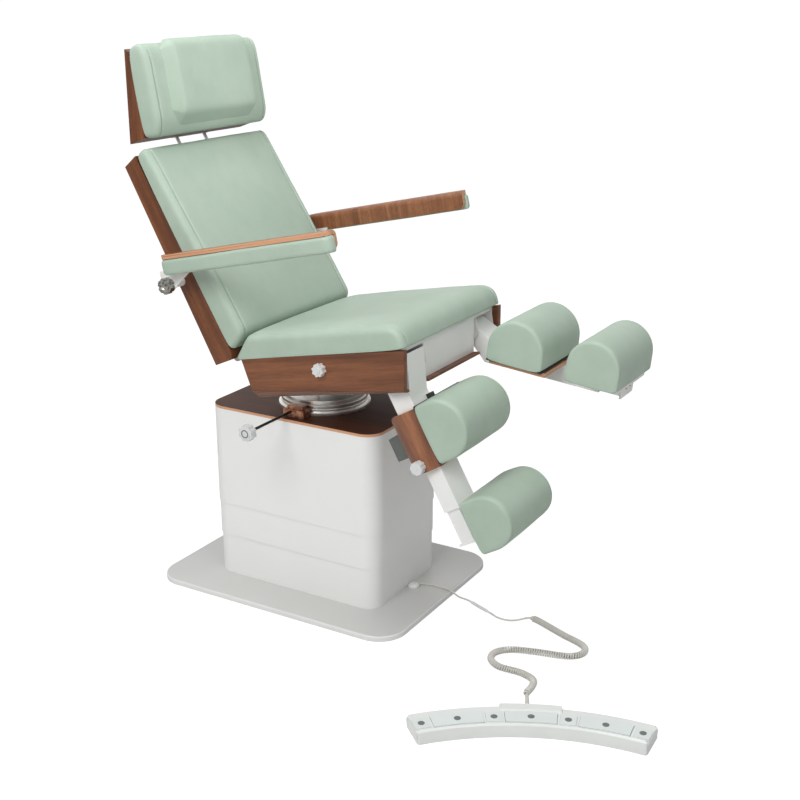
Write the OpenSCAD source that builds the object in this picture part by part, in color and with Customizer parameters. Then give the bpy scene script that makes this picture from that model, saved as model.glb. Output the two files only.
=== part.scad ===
// Podiatry chair on a lifting column, with a split leg rest and a foot control.
// Sizes are in millimetres. The origin is on the floor, on the swivel axis of the
// column. +X points to the front of the chair, +Y to the sitter's left, +Z up.
// Pieces of the seat, back, headrest, armrests and legs are drawn in the frame of
// the hinge that carries them, and the in_... modules place those frames.

/* [Base plate] */
// Reach of the base plate behind the swivel axis
base_back = 422; // [340:1:500]
// Reach of the base plate in front of the swivel axis
base_front = 408; // [340:1:460]
// Width of the base plate
base_w = 628; // [500:1:760]
// Thickness of the base plate
base_t = 16; // [10:1:24]
// Corner radius of the base plate
base_corner = 85; // [40:1:120]

/* [Column] */
// Length of the outer column cover
column_l = 570; // [520:1:620]
// Width of the outer column cover
column_w = 381; // [340:1:440]
// Corner radius of the outer column cover
column_corner = 52; // [30:1:80]
// Height of the top board above the floor
column_h = 550; // [530:1:620]
// Thickness of the top board
board_t = 8; // [5:0.5:12]
// Wall of the sheet covers
cover_wall = 1.5; // [1:0.1:2.5]
// Gap between one cover and the next
cover_gap = 1; // [0.6:0.1:2]
// Width of the outermost lift tube
lift_w = 150; // [130:1:180]
// Wall of the lift tubes
lift_wall = 5.5; // [4:0.5:8]

/* [Swivel] */
// Radius of the flange of the slewing ring
ring_r = 135; // [128:1:150]
// Radius of the bore of the slewing ring
ring_bore_r = 60; // [40:1:80]
// Radius of the turntable
disc_r = 122; // [105:1:126]
// Height of the tilt axis above the top board
tilt_axis_h = 140; // [130:1:170]
// Radius of the tilt pin
tilt_pin_r = 10; // [7:0.5:14]
// Diameter of the clamp knob beside the column
brake_knob_d = 46; // [36:1:60]

/* [Seat] */
// Angle that the seat rises to the front
seat_tilt = 10.9; // [0:0.1:16]
// Length of the seat cushion
seat_l = 554; // [500:1:600]
// Width of the seat and of the backrest
seat_w = 560; // [520:1:620]
// Height of the side seam of the seat cushion
seat_pad_t = 64; // [50:1:80]
// Height of the side panels at the front
panel_h = 107; // [100:1:125]
// Thickness of the side panels
panel_t = 18; // [12:1:24]
// Radius of the hinge pins of the legs and of the back
pin_r = 8; // [6:0.5:9]

/* [Backrest] */
// Angle that the backrest leans back from upright
back_lean = 30.46; // [20:0.1:60]
// Height of the backrest tray above its hinge
tray_h = 612.5; // [560:0.5:680]
// Thickness of the backrest cushion at its top
back_pad_top_t = 42; // [30:1:60]
// Thickness of the backrest cushion at its foot
back_pad_foot_t = 66; // [50:1:80]

/* [Headrest] */
// Width of the headrest
head_w = 500; // [420:1:540]
// Height of the headrest shell
head_h = 250; // [210:1:290]
// Thickness of the headrest cushion
head_pad_t = 52; // [40:1:70]
// Radius of the headrest posts
post_r = 5; // [3.5:0.5:5]

/* [Armrests] */
// Angle that the armrests rise to the front
arm_rise = 12.5; // [0:0.5:25]
// Length of the armrest shell
arm_l = 558; // [440:1:620]
// Height of the armrest shell
arm_h = 52; // [44:1:64]
// Thickness of the bent plywood
ply_t = 12; // [9:1:14]

/* [Leg rests] */
// Angle that the right leg hangs below level
leg_drop_right = 60.5; // [0:0.5:60.5]
// Angle that the left leg hangs below level
leg_drop_left = 6; // [0:0.5:60.5]
// How much further the right slider is drawn out than the left
slide_out_right = 34; // [-40:1:70]
// Width of the leg tube
leg_w = 90; // [80:1:94]
// Depth of the leg tube
leg_h = 50; // [44:1:60]
// Length of the calf pad along the leg
calf_l = 165; // [140:1:180]
// Height of the calf pad
calf_h = 126; // [95:1:130]
// Length of the heel pad along the leg
heel_l = 150; // [130:1:165]
// Height of the heel pad
heel_h = 127; // [90:1:130]
// Width of the calf and heel pads
leg_pad_w = 258; // [190:1:265]

/* [Foot control] */
// Inner radius of the curved foot control
control_r = 700; // [600:5:800]
// Depth of the foot control from front to back
control_w = 90; // [80:1:110]
// Height of the foot control
control_h = 34; // [30:1:42]
// Angle that the foot control spans
control_span = 45.3; // [44:0.1:60]
// Outer radius of the coils of the curly cord
curl_r = 9.6; // [6:0.2:9.6]
// Radius of the strand of the curly cord
strand_r = 2.5; // [1.5:0.1:2.5]
// Radius of the thin lead
lead_r = 2.3; // [1.8:0.1:2.5]

/* [Hidden] */
$fn = 72;

// Overrun of every cut
cut_over = 1;
// Radial clearance of shafts in their bores
shaft_fit = 0.05;
// Clearance between flat faces of pieces that move past each other
face_gap = 0.3;
// Clearance all round a square slider
slide_gap = 0.4;
// Round edge of the base plate
base_edge = 6;
edge_steps = 3;

// Heights and feet of the covers and tubes
upper_cover_h = 298;
middle_cover_foot = 141;
middle_cover_h = 270;
lower_cover_h = 250;
lift_outer_h = 264;
lift_middle_foot = 122;
lift_middle_h = 270;
lift_inner_h = 304;
lift_fit = 0.5;
top_plate_t = 10;
top_plate_gap = 3.5;
board_bore_r = 40;
cover_step = cover_wall + cover_gap;
board_z = column_h - board_t;
lift_mid_w = lift_w - 2 * (lift_wall + lift_fit);
lift_in_w = lift_mid_w - 2 * (lift_wall + lift_fit);

// Motor and control box inside the column
gear_box_l = 70;
gear_box_w = 70;
gear_box_h = 90;
motor_r = 28;
motor_h = 110;
control_box_l = 110;
control_box_w = 180;
control_box_h = 130;
control_box_gap = 15;

// Cable domes at the foot of the column
dome_r = 17;
dome_h = 12;
dome_gap = 1;
dome_side = 10;
dome_top_share = 0.45;
dome_x = column_l / 2 - 2 * cover_step + dome_gap + dome_r;

// Slewing ring, turntable and tilt cheeks
flange_t = 8;
drum_r = ring_r - 8;
drum_h = 20;
groove_w = 4;
groove_d = 3;
disc_t = 11.7;
hub_drop = 24;
hub_hollow_r = ring_bore_r - 15;
cheek_in = 66;
cheek_t = 10;
cheek_foot = 26;
cheek_r = 22;
tilt_axis_z = column_h + tilt_axis_h;
disc_z = column_h + flange_t + drum_h + face_gap;

// Tilt gear motor, on the axis of the tilt pin
gear_head_r = 24;
gear_head_l = 54;
tilt_motor_r = 20;
tilt_motor_l = 60;
pin_end = 6;

// Clamp block beside the ring and its rod
brake_x1 = -30;
brake_x2 = 40;
brake_gap = 4;
brake_w = 31;
brake_h = 32;
brake_step = 9;
brake_rod_r = 4;
brake_rod_x = -6;
brake_rod_h = 15;
brake_rod_in = 20;
brake_knob_out = 178.5;
brake_knob_l = 22;
brake_cap_r = 15;
brake_cap_l = 2;
knob_lobes = 8;
flute_r = 7;
flute_out = 4;

// Seat frame, in the frame of the seat's front lower edge
tilt_back = 451;
tilt_drop = 63;
seat_board_t = 6;
seat_board_back = 40;
seat_board_front = 46;
rail_y = 95;
rail_w = 30;
rail_h = 30;
rail_rear = 45;
rail_front = 50;
cross_rear = 50;
cross_front = 150;
lug_t = 11.7;
arm_y = 180;
arm_t = 10;
hinge_back = 585.8;
hinge_drop = 3.6;
hinge_arm_h = 40;
hinge_arm_top = 2.4;
hinge_arm_l = 112;
hinge_hub_r = 18;

// Seat panels
panel_l = 528;
panel_rake = 20;
panel_rear_rake = 17;
panel_rear_h = 91;
under_depth = 114;
under_inset = 18;
under_rear_rake = 8;
rear_board_t = 12;
arm_slot_gap = 2;
arm_slot_h = 50;
cheek_slot_gap = 4;
cheek_slot_l = 47;
front_recess = 20;
front_t = 2;
slot_gap = 6;
slot_top = 10.5;
slot_l = 92;
side_knob_back = 266;
side_knob_drop = 38;
side_knob_d = 36;
side_knob_l = 18;
side_knob_rod_r = 4;
side_cap_r = 9;
side_cap_l = 2;

// Leg hinge and its brackets
leg_back = 33.4;
leg_drop = 52.9;
leg_y = 200;
bracket_t = 5;
bracket_gap = 0.5;
bracket_low = 22;
bracket_eye_r = 15;
bracket_nose = 9;

// Back tray and frame, in the frame of the back hinge
tray_front = 35;
tray_foot = 15;
tray_lip = 9;
tray_lip_drop = 5;
tray_back = 36;
tray_back_foot = 2;
tray_top_back = 15.4;
tray_top_drop = 8.5;
tray_wall = 12;
tray_front_t = 8;
upright_y = 200;
upright_w = 25;
upright_back = 1;
upright_top = 28;
upright_foot = 18;
upright_hub_r = 14;
back_pin_gap = 4;
cross_low = 420;
cross_high = 560;
cross_h = 25;
cross_back = 3;
post_n = 21;
post_y = 62;

// Headrest, in the frame of its hinge bar
head_hinge_n = 21;
head_hinge_s = 657;
head_bar_r = 5;
head_bar_y = 80;
post_l = 327;
head_back = 6.4;
head_foot_back = 5.3;
head_foot_front = 47.6;
head_foot_rise = 13.9;
head_top_front = 8.1;
head_top_drop = 7;
head_slot_gap = 1;
head_slot_front = 13;
head_pad_lean = 9.7;

// Armrests, in the frame of their pivot
arm_pivot_n = 12;
arm_pivot_s = 252;
arm_stub_r = 12;
arm_stub_in = 14;
arm_plate_y = 330;
arm_plate_t = 6;
arm_eye_r = 20;
arm_start = 22;
arm_under = 34;
arm_bend_r = 15;
arm_top_w = 40;
arm_corner = 20;
arm_pad_drop = 4;
arm_pad_out = 44;
arm_pad_over = 4;
arm_pad_corner = 18;
arm_knob_d = 46;
arm_knob_l = 18;
arm_knob_gap = 0.6;
arm_screw_r = 5;
arm_screw_l = 26;
arm_lobes = 6;
arm_flute_r = 5;
arm_flute_out = 2;
arm_hollow_r = 12;
arm_hollow_l = 4;

// Leg rests, in the frame of their hinge
tube_top = 25.4;
tube_end = 392;
tube_start = 54;
tube_wall = 4.5;
tube_plug = 100;
root_t = 6;
root_plate_t = 4;
root_back = 29.6;
root_rise = 29.6;
root_nose = 74.4;
root_cover = 8;
root_l = 106.4;
root_under = 2;
root_heel = 44;
root_tail = 18;
stop_l = 12;
stop_in = 5.6;
stop_w = 20;
stop_h = 14;
block_l = 65;
block_w = 40;
block_in = 9.5;
block_h = 71;
block_at = 56;
calf_at_right = 101.4;
calf_at_left = 112.4;
pad_in = 6;
saddle_start = 5.3;
saddle_l = 164.7;
saddle_in = 22;
saddle_r = 74;
saddle_centre_y = 190;
saddle_centre_e = 55.4;
saddle_foot_a = -42;
saddle_slack = 1;
saddle_top_a = 36;
saddle_corner = 18;
leg_knob_at = 150;
leg_knob_up = 6;
leg_knob_r = 18;
leg_knob_l = 22;
leg_knob_gap = 1.2;
leg_screw_r = 4;
leg_screw_gap = 1;
leg_flute_r = 5;
leg_flute_out = 3;
leg_cap_r = 3;
leg_cap_l = 1;
heel_at_left = 342.4;
slider_wall = 3;
slider_l = 246;
end_plate_at = 109;
end_plate_t = 5;
heel_board_t = 11;
heel_board_in = 40;
heel_board_start = 10;
heel_board_end = 10;
screw_r = 4;
screw_l = 2.5;
screw_apart = 15;
screw_down = 26;

// Curved foot control and what is in it
control_x = 1225;
control_y = -1144;
control_from = 93;
control_edge = 8;
control_foot = 10;
hump_half_a = 5.6;
hump_in = 62;
hump_out = 4;
hump_h = 4;
rocker_in = 12;
rocker_w = 46;
rocker_a = 4.9;
rocker_floor = 26;
rocker_low = 30;
rocker_rise = 3;
rocker_gap = 0.8;
control_pitch = 7;
control_mid = 115.7;
button_in = 14;
button_w = 42;
button_a = 1.55;
button_gap = 0.3;
button_low = 26;
button_floor = 23.5;
button_rise = 2;
button_at = 35;
dot_r = 8.5;
dot_h = 0.8;
relief_r = 6.5;
relief_end_r = 4.2;
relief_l = 84;
relief_in = 4;
relief_z = 12;
relief_a = 0.5;
relief_ribs = 5;
relief_rib_w = 5;

// Lead from the dome to the connector, and on to the curls
connector_r = 4.5;
connector_end_r = 3;
connector_end_l = 16;
connector_a = [467, 34, 4.6];
connector_b = [562, -6, 4.6];
lead_one = [[309, 23, 21], [318, 34, 19], [338, 41, 19], [361, 43, 19], [385, 41, 19],
  [402, 39, 19], [413, 39, 15], [424, 39, 9], [436, 38, 5], [450, 37, 4], connector_a];
lead_two = [connector_b, [584, -14, 3], [606, -17, 3], [628, -12, 3], [646, 0, 4],
  [660, 12, 7.4], [673.3, 17.7, 10]];
curl_route = [[674, 18, 10.1], [700, 14, 10.1], [789, -24, 10.1], [864, -54, 10.1],
  [880, -92, 10.1], [850, -127, 10.1], [760, -151, 10.1], [702, -173, 10.1],
  [674, -207, 10.1], [680, -244, 10.1], [716, -268, 10.1], [780, -268, 10.1],
  [822, -285, 10.3], [833, -318, 10.8]];
curl_count = 100;
curl_rings = 8;
curl_sides = 6;
curl_ramp = 1.5;
lead_sides = 8;
lead_step = 2.6;

// Cushion tables. Each row is one ring of the skin, from the base to the crown:
// share of the thickness, share of the crown, draw-in at the two ends and at the
// sides as shares of the thickness, and further draw-in as shares of the length
// and of the width. The dip near the top is the sewn seam.
seat_crown = 12;
back_crown = 8;
head_crown = 5;
pad_corner = 22;
head_corner = 26;
seat_ring_shares = [
  [0, 0, 0.02, 0.05, 0.03, 0, 0], [0.08, 0, 0.07, 0, 0, 0, 0],
  [0.45, 0, 0.39, 0.05, 0, 0, 0], [0.75, 0, 0.65, 0.18, 0.01, 0, 0],
  [0.88, 0, 0.77, 0.4, 0.03, 0, 0], [0.92, 0, 0.83, 0.5, 0.07, 0, 0],
  [0.95, 0, 0.84, 0.56, 0.05, 0, 0], [1, 0.05, 0.98, 0.8, 0.2, 0, 0],
  [1, 0.45, 1, 0.95, 0.25, 0.05, 0.09], [1, 0.85, 1, 1, 0.25, 0.14, 0.22],
  [1, 1, 1, 1, 0.25, 0.26, 0.36]];
back_ring_shares = [
  [0, 0, 0.02, 0.03, 0.02, 0, 0], [0.08, 0, 0.04, -0.02, 0, 0, 0],
  [0.5, 0, 0.2, -0.1, 0, 0, 0], [0.8, 0, 0.33, -0.16, 0.01, 0, 0],
  [0.88, 0, 0.37, -0.16, 0.03, 0, 0], [0.92, 0, 0.42, -0.11, 0.07, 0, 0],
  [0.95, 0, 0.43, -0.1, 0.05, 0, 0], [1, 0.05, 0.6, 0.08, 0.2, 0, 0],
  [1, 0.45, 0.6, 0.1, 0.25, 0.05, 0.09], [1, 0.85, 0.6, 0.1, 0.25, 0.14, 0.22],
  [1, 1, 0.6, 0.1, 0.25, 0.26, 0.36]];
head_ring_shares = [
  [0, 0, 0.02, 0.02, 0.03, 0, 0], [0.08, 0, -0.03, -0.02, 0, 0, 0],
  [0.5, 0, -0.06, -0.03, 0, 0, 0], [0.7, 0, 0.04, -0.02, 0.01, 0, 0],
  [0.85, 0, 0.25, 0.04, 0.04, 0, 0], [0.95, 0, 0.48, 0.14, 0.12, 0, 0],
  [1, 0.05, 0.7, 0.3, 0.28, 0, 0], [1, 0.6, 0.8, 0.4, 0.35, 0.06, 0.08],
  [1, 1, 0.9, 0.5, 0.35, 0.16, 0.2]];
// Pillow block on the headrest, by shares of the cushion's thickness, length, width
pillow_ring_shares = [
  [0.75, 0.08, -0.05, 0.152], [1.06, 0.14, -0.075, 0.156],
  [1.3, 0.24, -0.07, 0.166], [1.4, 0.32, -0.04, 0.182],
  [1.44, 0.44, 0.06, 0.24]];
arm_ring_shares = [
  [0, 0.04], [0.1, 0], [0.62, 0], [0.8, 0.07], [0.93, 0.2], [1, 0.42]];
// Ends of the round pads: distance from the end and draw-in, in shares of the roll
bolster_roll = 16;
bolster_shares = [[0, 0.75], [0.12, 0.35], [0.45, 0.06], [1.1, 0], [1.35, 0.09],
  [1.6, 0]];
bolster_foot = 4;
bolster_steps = 12;

// Outlines and rounded bodies

module round_rect(l, w, r) {
  square([l - 2 * r, w], center = true);
  square([l, w - 2 * r], center = true);
  for (x = [-1, 1], y = [-1, 1])
    translate([x * (l / 2 - r), y * (w / 2 - r)]) circle(r);
}

function edge_arc(r, t, b) = [for (i = [0:edge_steps])
  [r - b + b * cos(90 * i / edge_steps), t - b + b * sin(90 * i / edge_steps)]];
function mirrored(points) = [for (i = [len(points) - 1:-1:0])
  [-points[i][0], points[i][1]]];

// Slab with upright walls and a round upper edge, standing on the origin
module soft_slab(l, w, r, t, b) {
  side = concat([[w / 2, 0]], edge_arc(w / 2, t, b));
  nose = concat([[l / 2, 0]], edge_arc(l / 2, t, b));
  rotate([90, 0, 90]) linear_extrude(l - 2 * r, center = true)
    polygon(concat(side, mirrored(side)));
  rotate([90, 0, 0]) linear_extrude(w - 2 * r, center = true)
    polygon(concat(nose, mirrored(nose)));
  for (x = [-1, 1], y = [-1, 1])
    translate([x * (l / 2 - r), y * (w / 2 - r), 0])
      rotate_extrude() polygon(concat([[0, 0], [r, 0]], edge_arc(r, t, b), [[0, t]]));
}

// Sheet cover, open above and below
module cover(step, foot, h) {
  translate([0, 0, foot]) linear_extrude(h) difference() {
    round_rect(column_l - 2 * step, column_w - 2 * step, column_corner - step);
    round_rect(column_l - 2 * (step + cover_wall), column_w - 2 * (step + cover_wall),
      column_corner - step - cover_wall);
  }
}

// Box between two corners
module span(a, b) {
  translate(a) cube(b - a);
}

// Flat outline in X and Z, given a thickness from y1 to y2
module slice(y1, y2) {
  translate([0, y2, 0]) rotate([90, 0, 0]) linear_extrude(y2 - y1) children();
}

// Shaft along Y through the origin of X and Z
module shaft(r, y1, y2) {
  translate([0, y2, 0]) rotate([90, 0, 0]) cylinder(r = r, h = y2 - y1);
}

// Fluted knob along Y, from y1 outwards
module knob(r, y1, l, lobes, dent_r, dent_out) {
  difference() {
    shaft(r, y1, y1 + l);
    for (i = [0:lobes - 1])
      rotate([0, 360 * i / lobes, 0]) translate([r + dent_out, 0, 0])
        shaft(dent_r, y1 - cut_over, y1 + l + cut_over);
  }
}

module both_sides() {
  children();
  mirror([0, 1, 0]) children();
}

// Pieces of a pair are drawn for the left side and mirrored for the right
module on_side(side) {
  if (side < 0) mirror([0, 1, 0]) children();
  else children();
}

// Frames of the moving groups

module in_seat() {
  translate([0, 0, tilt_axis_z]) rotate([0, -seat_tilt, 0])
    translate([tilt_back, 0, tilt_drop]) children();
}

module in_back() {
  in_seat() translate([-hinge_back, 0, -hinge_drop])
    rotate([0, seat_tilt - back_lean, 0]) children();
}

module in_head() {
  in_back() translate([head_hinge_n, 0, head_hinge_s])
    rotate([0, back_lean, 0]) children();
}

module in_arm(side) {
  in_back() translate([-arm_pivot_n, 0, arm_pivot_s])
    rotate([0, back_lean - arm_rise, 0]) on_side(side) children();
}

function drop_of(side) = side < 0 ? leg_drop_right : leg_drop_left;
function calf_at(side) = side < 0 ? calf_at_right : calf_at_left;
function heel_at(side) = heel_at_left + (side < 0 ? slide_out_right : 0);

module in_leg(side) {
  in_seat() translate([-leg_back, 0, -leg_drop])
    rotate([0, seat_tilt + drop_of(side), 0]) on_side(side) children();
}

// Skins: a stack of rings with as many points each, closed by two flat caps

module skin(rings) {
  n = len(rings[0]);
  m = len(rings);
  polyhedron([for (ring = rings) each ring], concat(
    [for (k = [0:m - 2], i = [0:n - 1]) each
      [[k * n + i, (k + 1) * n + i, (k + 1) * n + (i + 1) % n],
       [k * n + i, (k + 1) * n + (i + 1) % n, k * n + (i + 1) % n]]],
    [for (i = [1:n - 2]) [0, i, i + 1]],
    [for (i = [1:n - 2]) [(m - 1) * n, (m - 1) * n + i + 1, (m - 1) * n + i]]));
}

corner_steps = 4;
function round_ring(x0, x1, y0, y1, r) = [for (q = [0:3], i = [0:corner_steps])
  let (a = 90 * (q + i / corner_steps),
       cx = q == 0 || q == 3 ? x1 - r : x0 + r,
       cy = q < 2 ? y1 - r : y0 + r)
  [cx + r * cos(a), cy + r * sin(a)]];

// Ring of a cushion with the length l from x = 0, the width w and the thickness t
function pad_ring(row, l, w, t, r) =
  let (x0 = t * row[2] + l * row[5], x1 = l - t * row[3] - l * row[5],
       y1 = w / 2 - t * row[4] - w * row[6])
  round_ring(x0, x1, -y1, y1, min(r, y1, (x1 - x0) / 2));

function turned(p) = [p[2], -p[1], p[0]];
function laid(p) = [p[0], p[2], -p[1]];

// D-shaped ring of a round pad, in the plane of the leg, drawn in by d
function bolster_ring(l, h, d) =
  let (r = l / 2 - d, side = h - l / 2)
  concat([[d + bolster_foot, 0], [l - d - bolster_foot, 0], [l - d, bolster_foot]],
    [for (i = [0:bolster_steps]) let (a = 180 * i / bolster_steps)
      [l / 2 + r * cos(a), side + r * sin(a)]],
    [[d, bolster_foot]]);

module bolster(l, h, y0, y1) {
  ends = concat(
    [for (s = bolster_shares) [y0 + s[0] * bolster_roll, s[1] * bolster_roll]],
    [for (i = [len(bolster_shares) - 1:-1:0])
      [y1 - bolster_shares[i][0] * bolster_roll, bolster_shares[i][1] * bolster_roll]]);
  skin([for (e = ends) [for (p = bolster_ring(l, h, e[1])) [p[0], -e[0], p[1]]]]);
}

// Smooth line through points, and a tube swept along a list of centres

function bend(a, b, c, d, s) =
  0.5 * (2 * b + (c - a) * s + (2 * a - 5 * b + 4 * c - d) * s * s
    + (3 * b - a - 3 * c + d) * s * s * s);
function route_point(p, u) =
  let (n = len(p), k = min(floor(u), n - 2), s = u - k,
       b = p[k], c = p[k + 1],
       a = k > 0 ? p[k - 1] : 2 * b - c,
       d = k < n - 2 ? p[k + 2] : 2 * c - b)
  bend(a, b, c, d, s);
function route_lengths(p, parts) =
  let (n = (len(p) - 1) * parts,
       q = [for (i = [0:n]) route_point(p, i / parts)])
  [for (i = 0, s = 0; i <= n; i = i + 1,
        s = i <= n ? s + norm(q[i] - q[i - 1]) : s) s];
// Place on a route after the length s
function share_at(lengths, s, parts, k = 0) =
  k >= len(lengths) - 2 || lengths[k + 1] >= s
    ? (k + (s - lengths[k]) / (lengths[k + 1] - lengths[k])) / parts
    : share_at(lengths, s, parts, k + 1);
function unit(v) = v / norm(v);

module tube(centres, across, r, sides) {
  n = len(centres);
  skin([for (i = [0:n - 1])
    let (t = unit(centres[min(i + 1, n - 1)] - centres[max(i - 1, 0)]),
         a = unit(across[i] - (across[i] * t) * t), b = cross(t, a))
    [for (j = [0:sides - 1])
      centres[i] + r * (cos(360 * j / sides) * a + sin(360 * j / sides) * b)]]);
}

route_parts = 8;
module lead(p) {
  lengths = route_lengths(p, route_parts);
  total = lengths[len(lengths) - 1];
  n = ceil(total / (lead_step * 2 * lead_r));
  centres = [for (i = [0:n])
    route_point(p, share_at(lengths, total * i / n, route_parts))];
  tube(centres, [for (c = centres) [0, 0, 1]], lead_r, lead_sides);
}

// The curls run round the smooth route, and die out to a straight end
relief_dir = [cos(control_mid + relief_a), sin(control_mid + relief_a), 0];
control_at = [control_x, control_y, 0];
relief_out_r = control_r + control_w + hump_out + relief_l - relief_in;
relief_end = control_at + relief_out_r * relief_dir + [0, 0, relief_z];
curl_path = concat(curl_route, [relief_end + 4 * strand_r * relief_dir, relief_end]);
curl_lengths = route_lengths(curl_path, route_parts);
curl_total = curl_lengths[len(curl_lengths) - 1];
curl_end_l = 2 * strand_r;
curl_n = curl_count * curl_rings;
curl_mean_r = curl_r - strand_r;
function curl_centre(s) =
  route_point(curl_path, share_at(curl_lengths, s, route_parts));
function curl_frame(s) =
  let (t = unit(curl_centre(min(s + strand_r, curl_total))
         - curl_centre(max(s - strand_r, 0))),
       side = unit([-t[1], t[0], 0]))
  [side, cross(t, side)];
function curl_round(i) =
  let (f = curl_frame(curl_s(i)), a = 360 * i / curl_rings)
  cos(a) * f[1] + sin(a) * f[0];
function curl_s(i) = curl_end_l + (curl_total - 2 * curl_end_l) * i / curl_n;
function curl_swell(i) =
  min(1, i / (curl_ramp * curl_rings), (curl_n - i) / (curl_ramp * curl_rings));
curl_points = [for (i = [0:curl_n])
  curl_centre(curl_s(i)) + curl_mean_r * curl_swell(i) * curl_round(i)];
curl_centres = concat([curl_centre(0)], curl_points, [curl_centre(curl_total)]);
curl_across = concat([curl_round(0)], [for (i = [0:curl_n]) curl_round(i)],
  [curl_round(curl_n)]);
curl_gap = min([for (i = [0:curl_n - curl_rings])
  min([for (j = [i + curl_rings - 2:min(i + 2 * curl_rings, curl_n)])
    norm(curl_points[i] - curl_points[j])])]) - 2 * strand_r;
echo(curl_least_gap = curl_gap, curl_length = curl_total);

// Base and column

module base_plate() {
  color([0.93, 0.93, 0.92])
    translate([(base_front - base_back) / 2, 0, 0])
      soft_slab(base_back + base_front, base_w, base_corner, base_t, base_edge);
}

// Low domes, for the lead of the foot control and for the mains lead
module base_glands() {
  color([0.92, 0.92, 0.91])
    for (side = [-1, 1])
      translate([side * dome_x, side * dome_side, base_t])
        rotate_extrude() polygon([[0, 0], [dome_r, 0],
          [dome_r, dome_h * dome_top_share], [dome_r * cos(40), dome_h * 0.8],
          [dome_r * dome_top_share, dome_h], [0, dome_h]]);
}

module lower_cover() {
  color([0.9, 0.9, 0.89]) cover(2 * cover_step, base_t, lower_cover_h);
}

module middle_cover() {
  color([0.9, 0.9, 0.89]) cover(cover_step, middle_cover_foot, middle_cover_h);
}

module upper_cover() {
  color([0.92, 0.92, 0.91]) cover(0, board_z - upper_cover_h, upper_cover_h);
}

module column_top_board() {
  color([0.3, 0.18, 0.14])
    translate([0, 0, board_z]) linear_extrude(board_t) difference() {
      round_rect(column_l, column_w, column_corner);
      circle(board_bore_r);
    }
}

module square_tube(w, foot, h) {
  translate([0, 0, foot]) linear_extrude(h) difference() {
    square(w, center = true);
    square(w - 2 * lift_wall, center = true);
  }
}

module lift_outer_tube() {
  color([0.7, 0.71, 0.72]) square_tube(lift_w, base_t, lift_outer_h);
}

module lift_middle_tube() {
  color([0.74, 0.75, 0.76]) square_tube(lift_mid_w, lift_middle_foot, lift_middle_h);
}

module lift_inner_tube() {
  plate_l = column_l - 2 * (cover_wall + top_plate_gap);
  plate_w = column_w - 2 * (cover_wall + top_plate_gap);
  color([0.78, 0.79, 0.8]) {
    square_tube(lift_in_w, board_z - top_plate_t - lift_inner_h, lift_inner_h);
    translate([0, 0, board_z - top_plate_t]) linear_extrude(top_plate_t) difference() {
      round_rect(plate_l, plate_w, column_corner - cover_wall - top_plate_gap);
      circle(board_bore_r);
    }
  }
}

// Gear box and motor beside the lift tubes, and the control box on the other side
module lift_drive() {
  color([0.2, 0.2, 0.21]) {
    span([lift_w / 2, -gear_box_w / 2, base_t],
      [lift_w / 2 + gear_box_l, gear_box_w / 2, base_t + gear_box_h]);
    translate([lift_w / 2 + gear_box_l / 2, 0, base_t + gear_box_h])
      cylinder(r = motor_r, h = motor_h);
    span([-lift_w / 2 - control_box_gap - control_box_l, -control_box_w / 2, base_t],
      [-lift_w / 2 - control_box_gap, control_box_w / 2, base_t + control_box_h]);
  }
}

// Swivel

module swivel_ring() {
  groove_z = flange_t + (drum_h - groove_w) / 2;
  color([0.75, 0.74, 0.72]) translate([0, 0, column_h])
    rotate_extrude() polygon([[ring_bore_r, 0], [ring_r, 0], [ring_r, flange_t],
      [drum_r, flange_t], [drum_r, groove_z], [drum_r - groove_d, groove_z],
      [drum_r - groove_d, groove_z + groove_w], [drum_r, groove_z + groove_w],
      [drum_r, flange_t + drum_h], [ring_bore_r, flange_t + drum_h]]);
}

module brake_block() {
  y2 = -ring_r - brake_gap;
  y1 = y2 - brake_w;
  color([0.72, 0.6, 0.5]) difference() {
    union() {
      span([brake_x1, y1, column_h], [brake_x2, y2, column_h + brake_h - brake_step]);
      span([brake_x1 + brake_step, y1 + brake_step, column_h],
        [brake_x2 - brake_step, y2, column_h + brake_h]);
    }
    translate([brake_rod_x, 0, column_h + brake_rod_h])
      shaft(brake_rod_r + shaft_fit, y1 - cut_over, y1 + brake_rod_in);
  }
}

module brake_knob() {
  r = brake_knob_d / 2;
  y1 = -ring_r - brake_gap - brake_w;
  out = -column_w / 2 - brake_knob_out;
  color([0.9, 0.9, 0.9]) translate([brake_rod_x, 0, column_h + brake_rod_h]) {
    shaft(brake_rod_r, out, y1 + brake_rod_in - face_gap);
    knob(r, out - brake_knob_l / 2, brake_knob_l, knob_lobes, flute_r, flute_out);
    shaft(brake_cap_r, out - brake_knob_l / 2 - brake_cap_l, out);
  }
}

module turntable() {
  color([0.8, 0.8, 0.79]) difference() {
    union() {
      translate([0, 0, disc_z]) cylinder(r = disc_r, h = disc_t);
      translate([0, 0, disc_z - hub_drop])
        cylinder(r = ring_bore_r - shaft_fit, h = hub_drop + disc_t);
      both_sides() translate([0, 0, tilt_axis_z]) {
        slice(cheek_in, cheek_in + cheek_t) polygon([
          [-cheek_foot, disc_z + disc_t - cut_over - tilt_axis_z],
          [cheek_foot, disc_z + disc_t - cut_over - tilt_axis_z],
          [cheek_r, 0], [-cheek_r, 0]]);
        shaft(cheek_r, cheek_in, cheek_in + cheek_t);
      }
    }
    translate([0, 0, disc_z - hub_drop - cut_over])
      cylinder(r = hub_hollow_r, h = hub_drop + disc_t + 2 * cut_over);
    translate([0, 0, tilt_axis_z])
      shaft(tilt_pin_r + shaft_fit, -cheek_in - cheek_t - cut_over,
        cheek_in + cheek_t + cut_over);
  }
}

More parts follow.
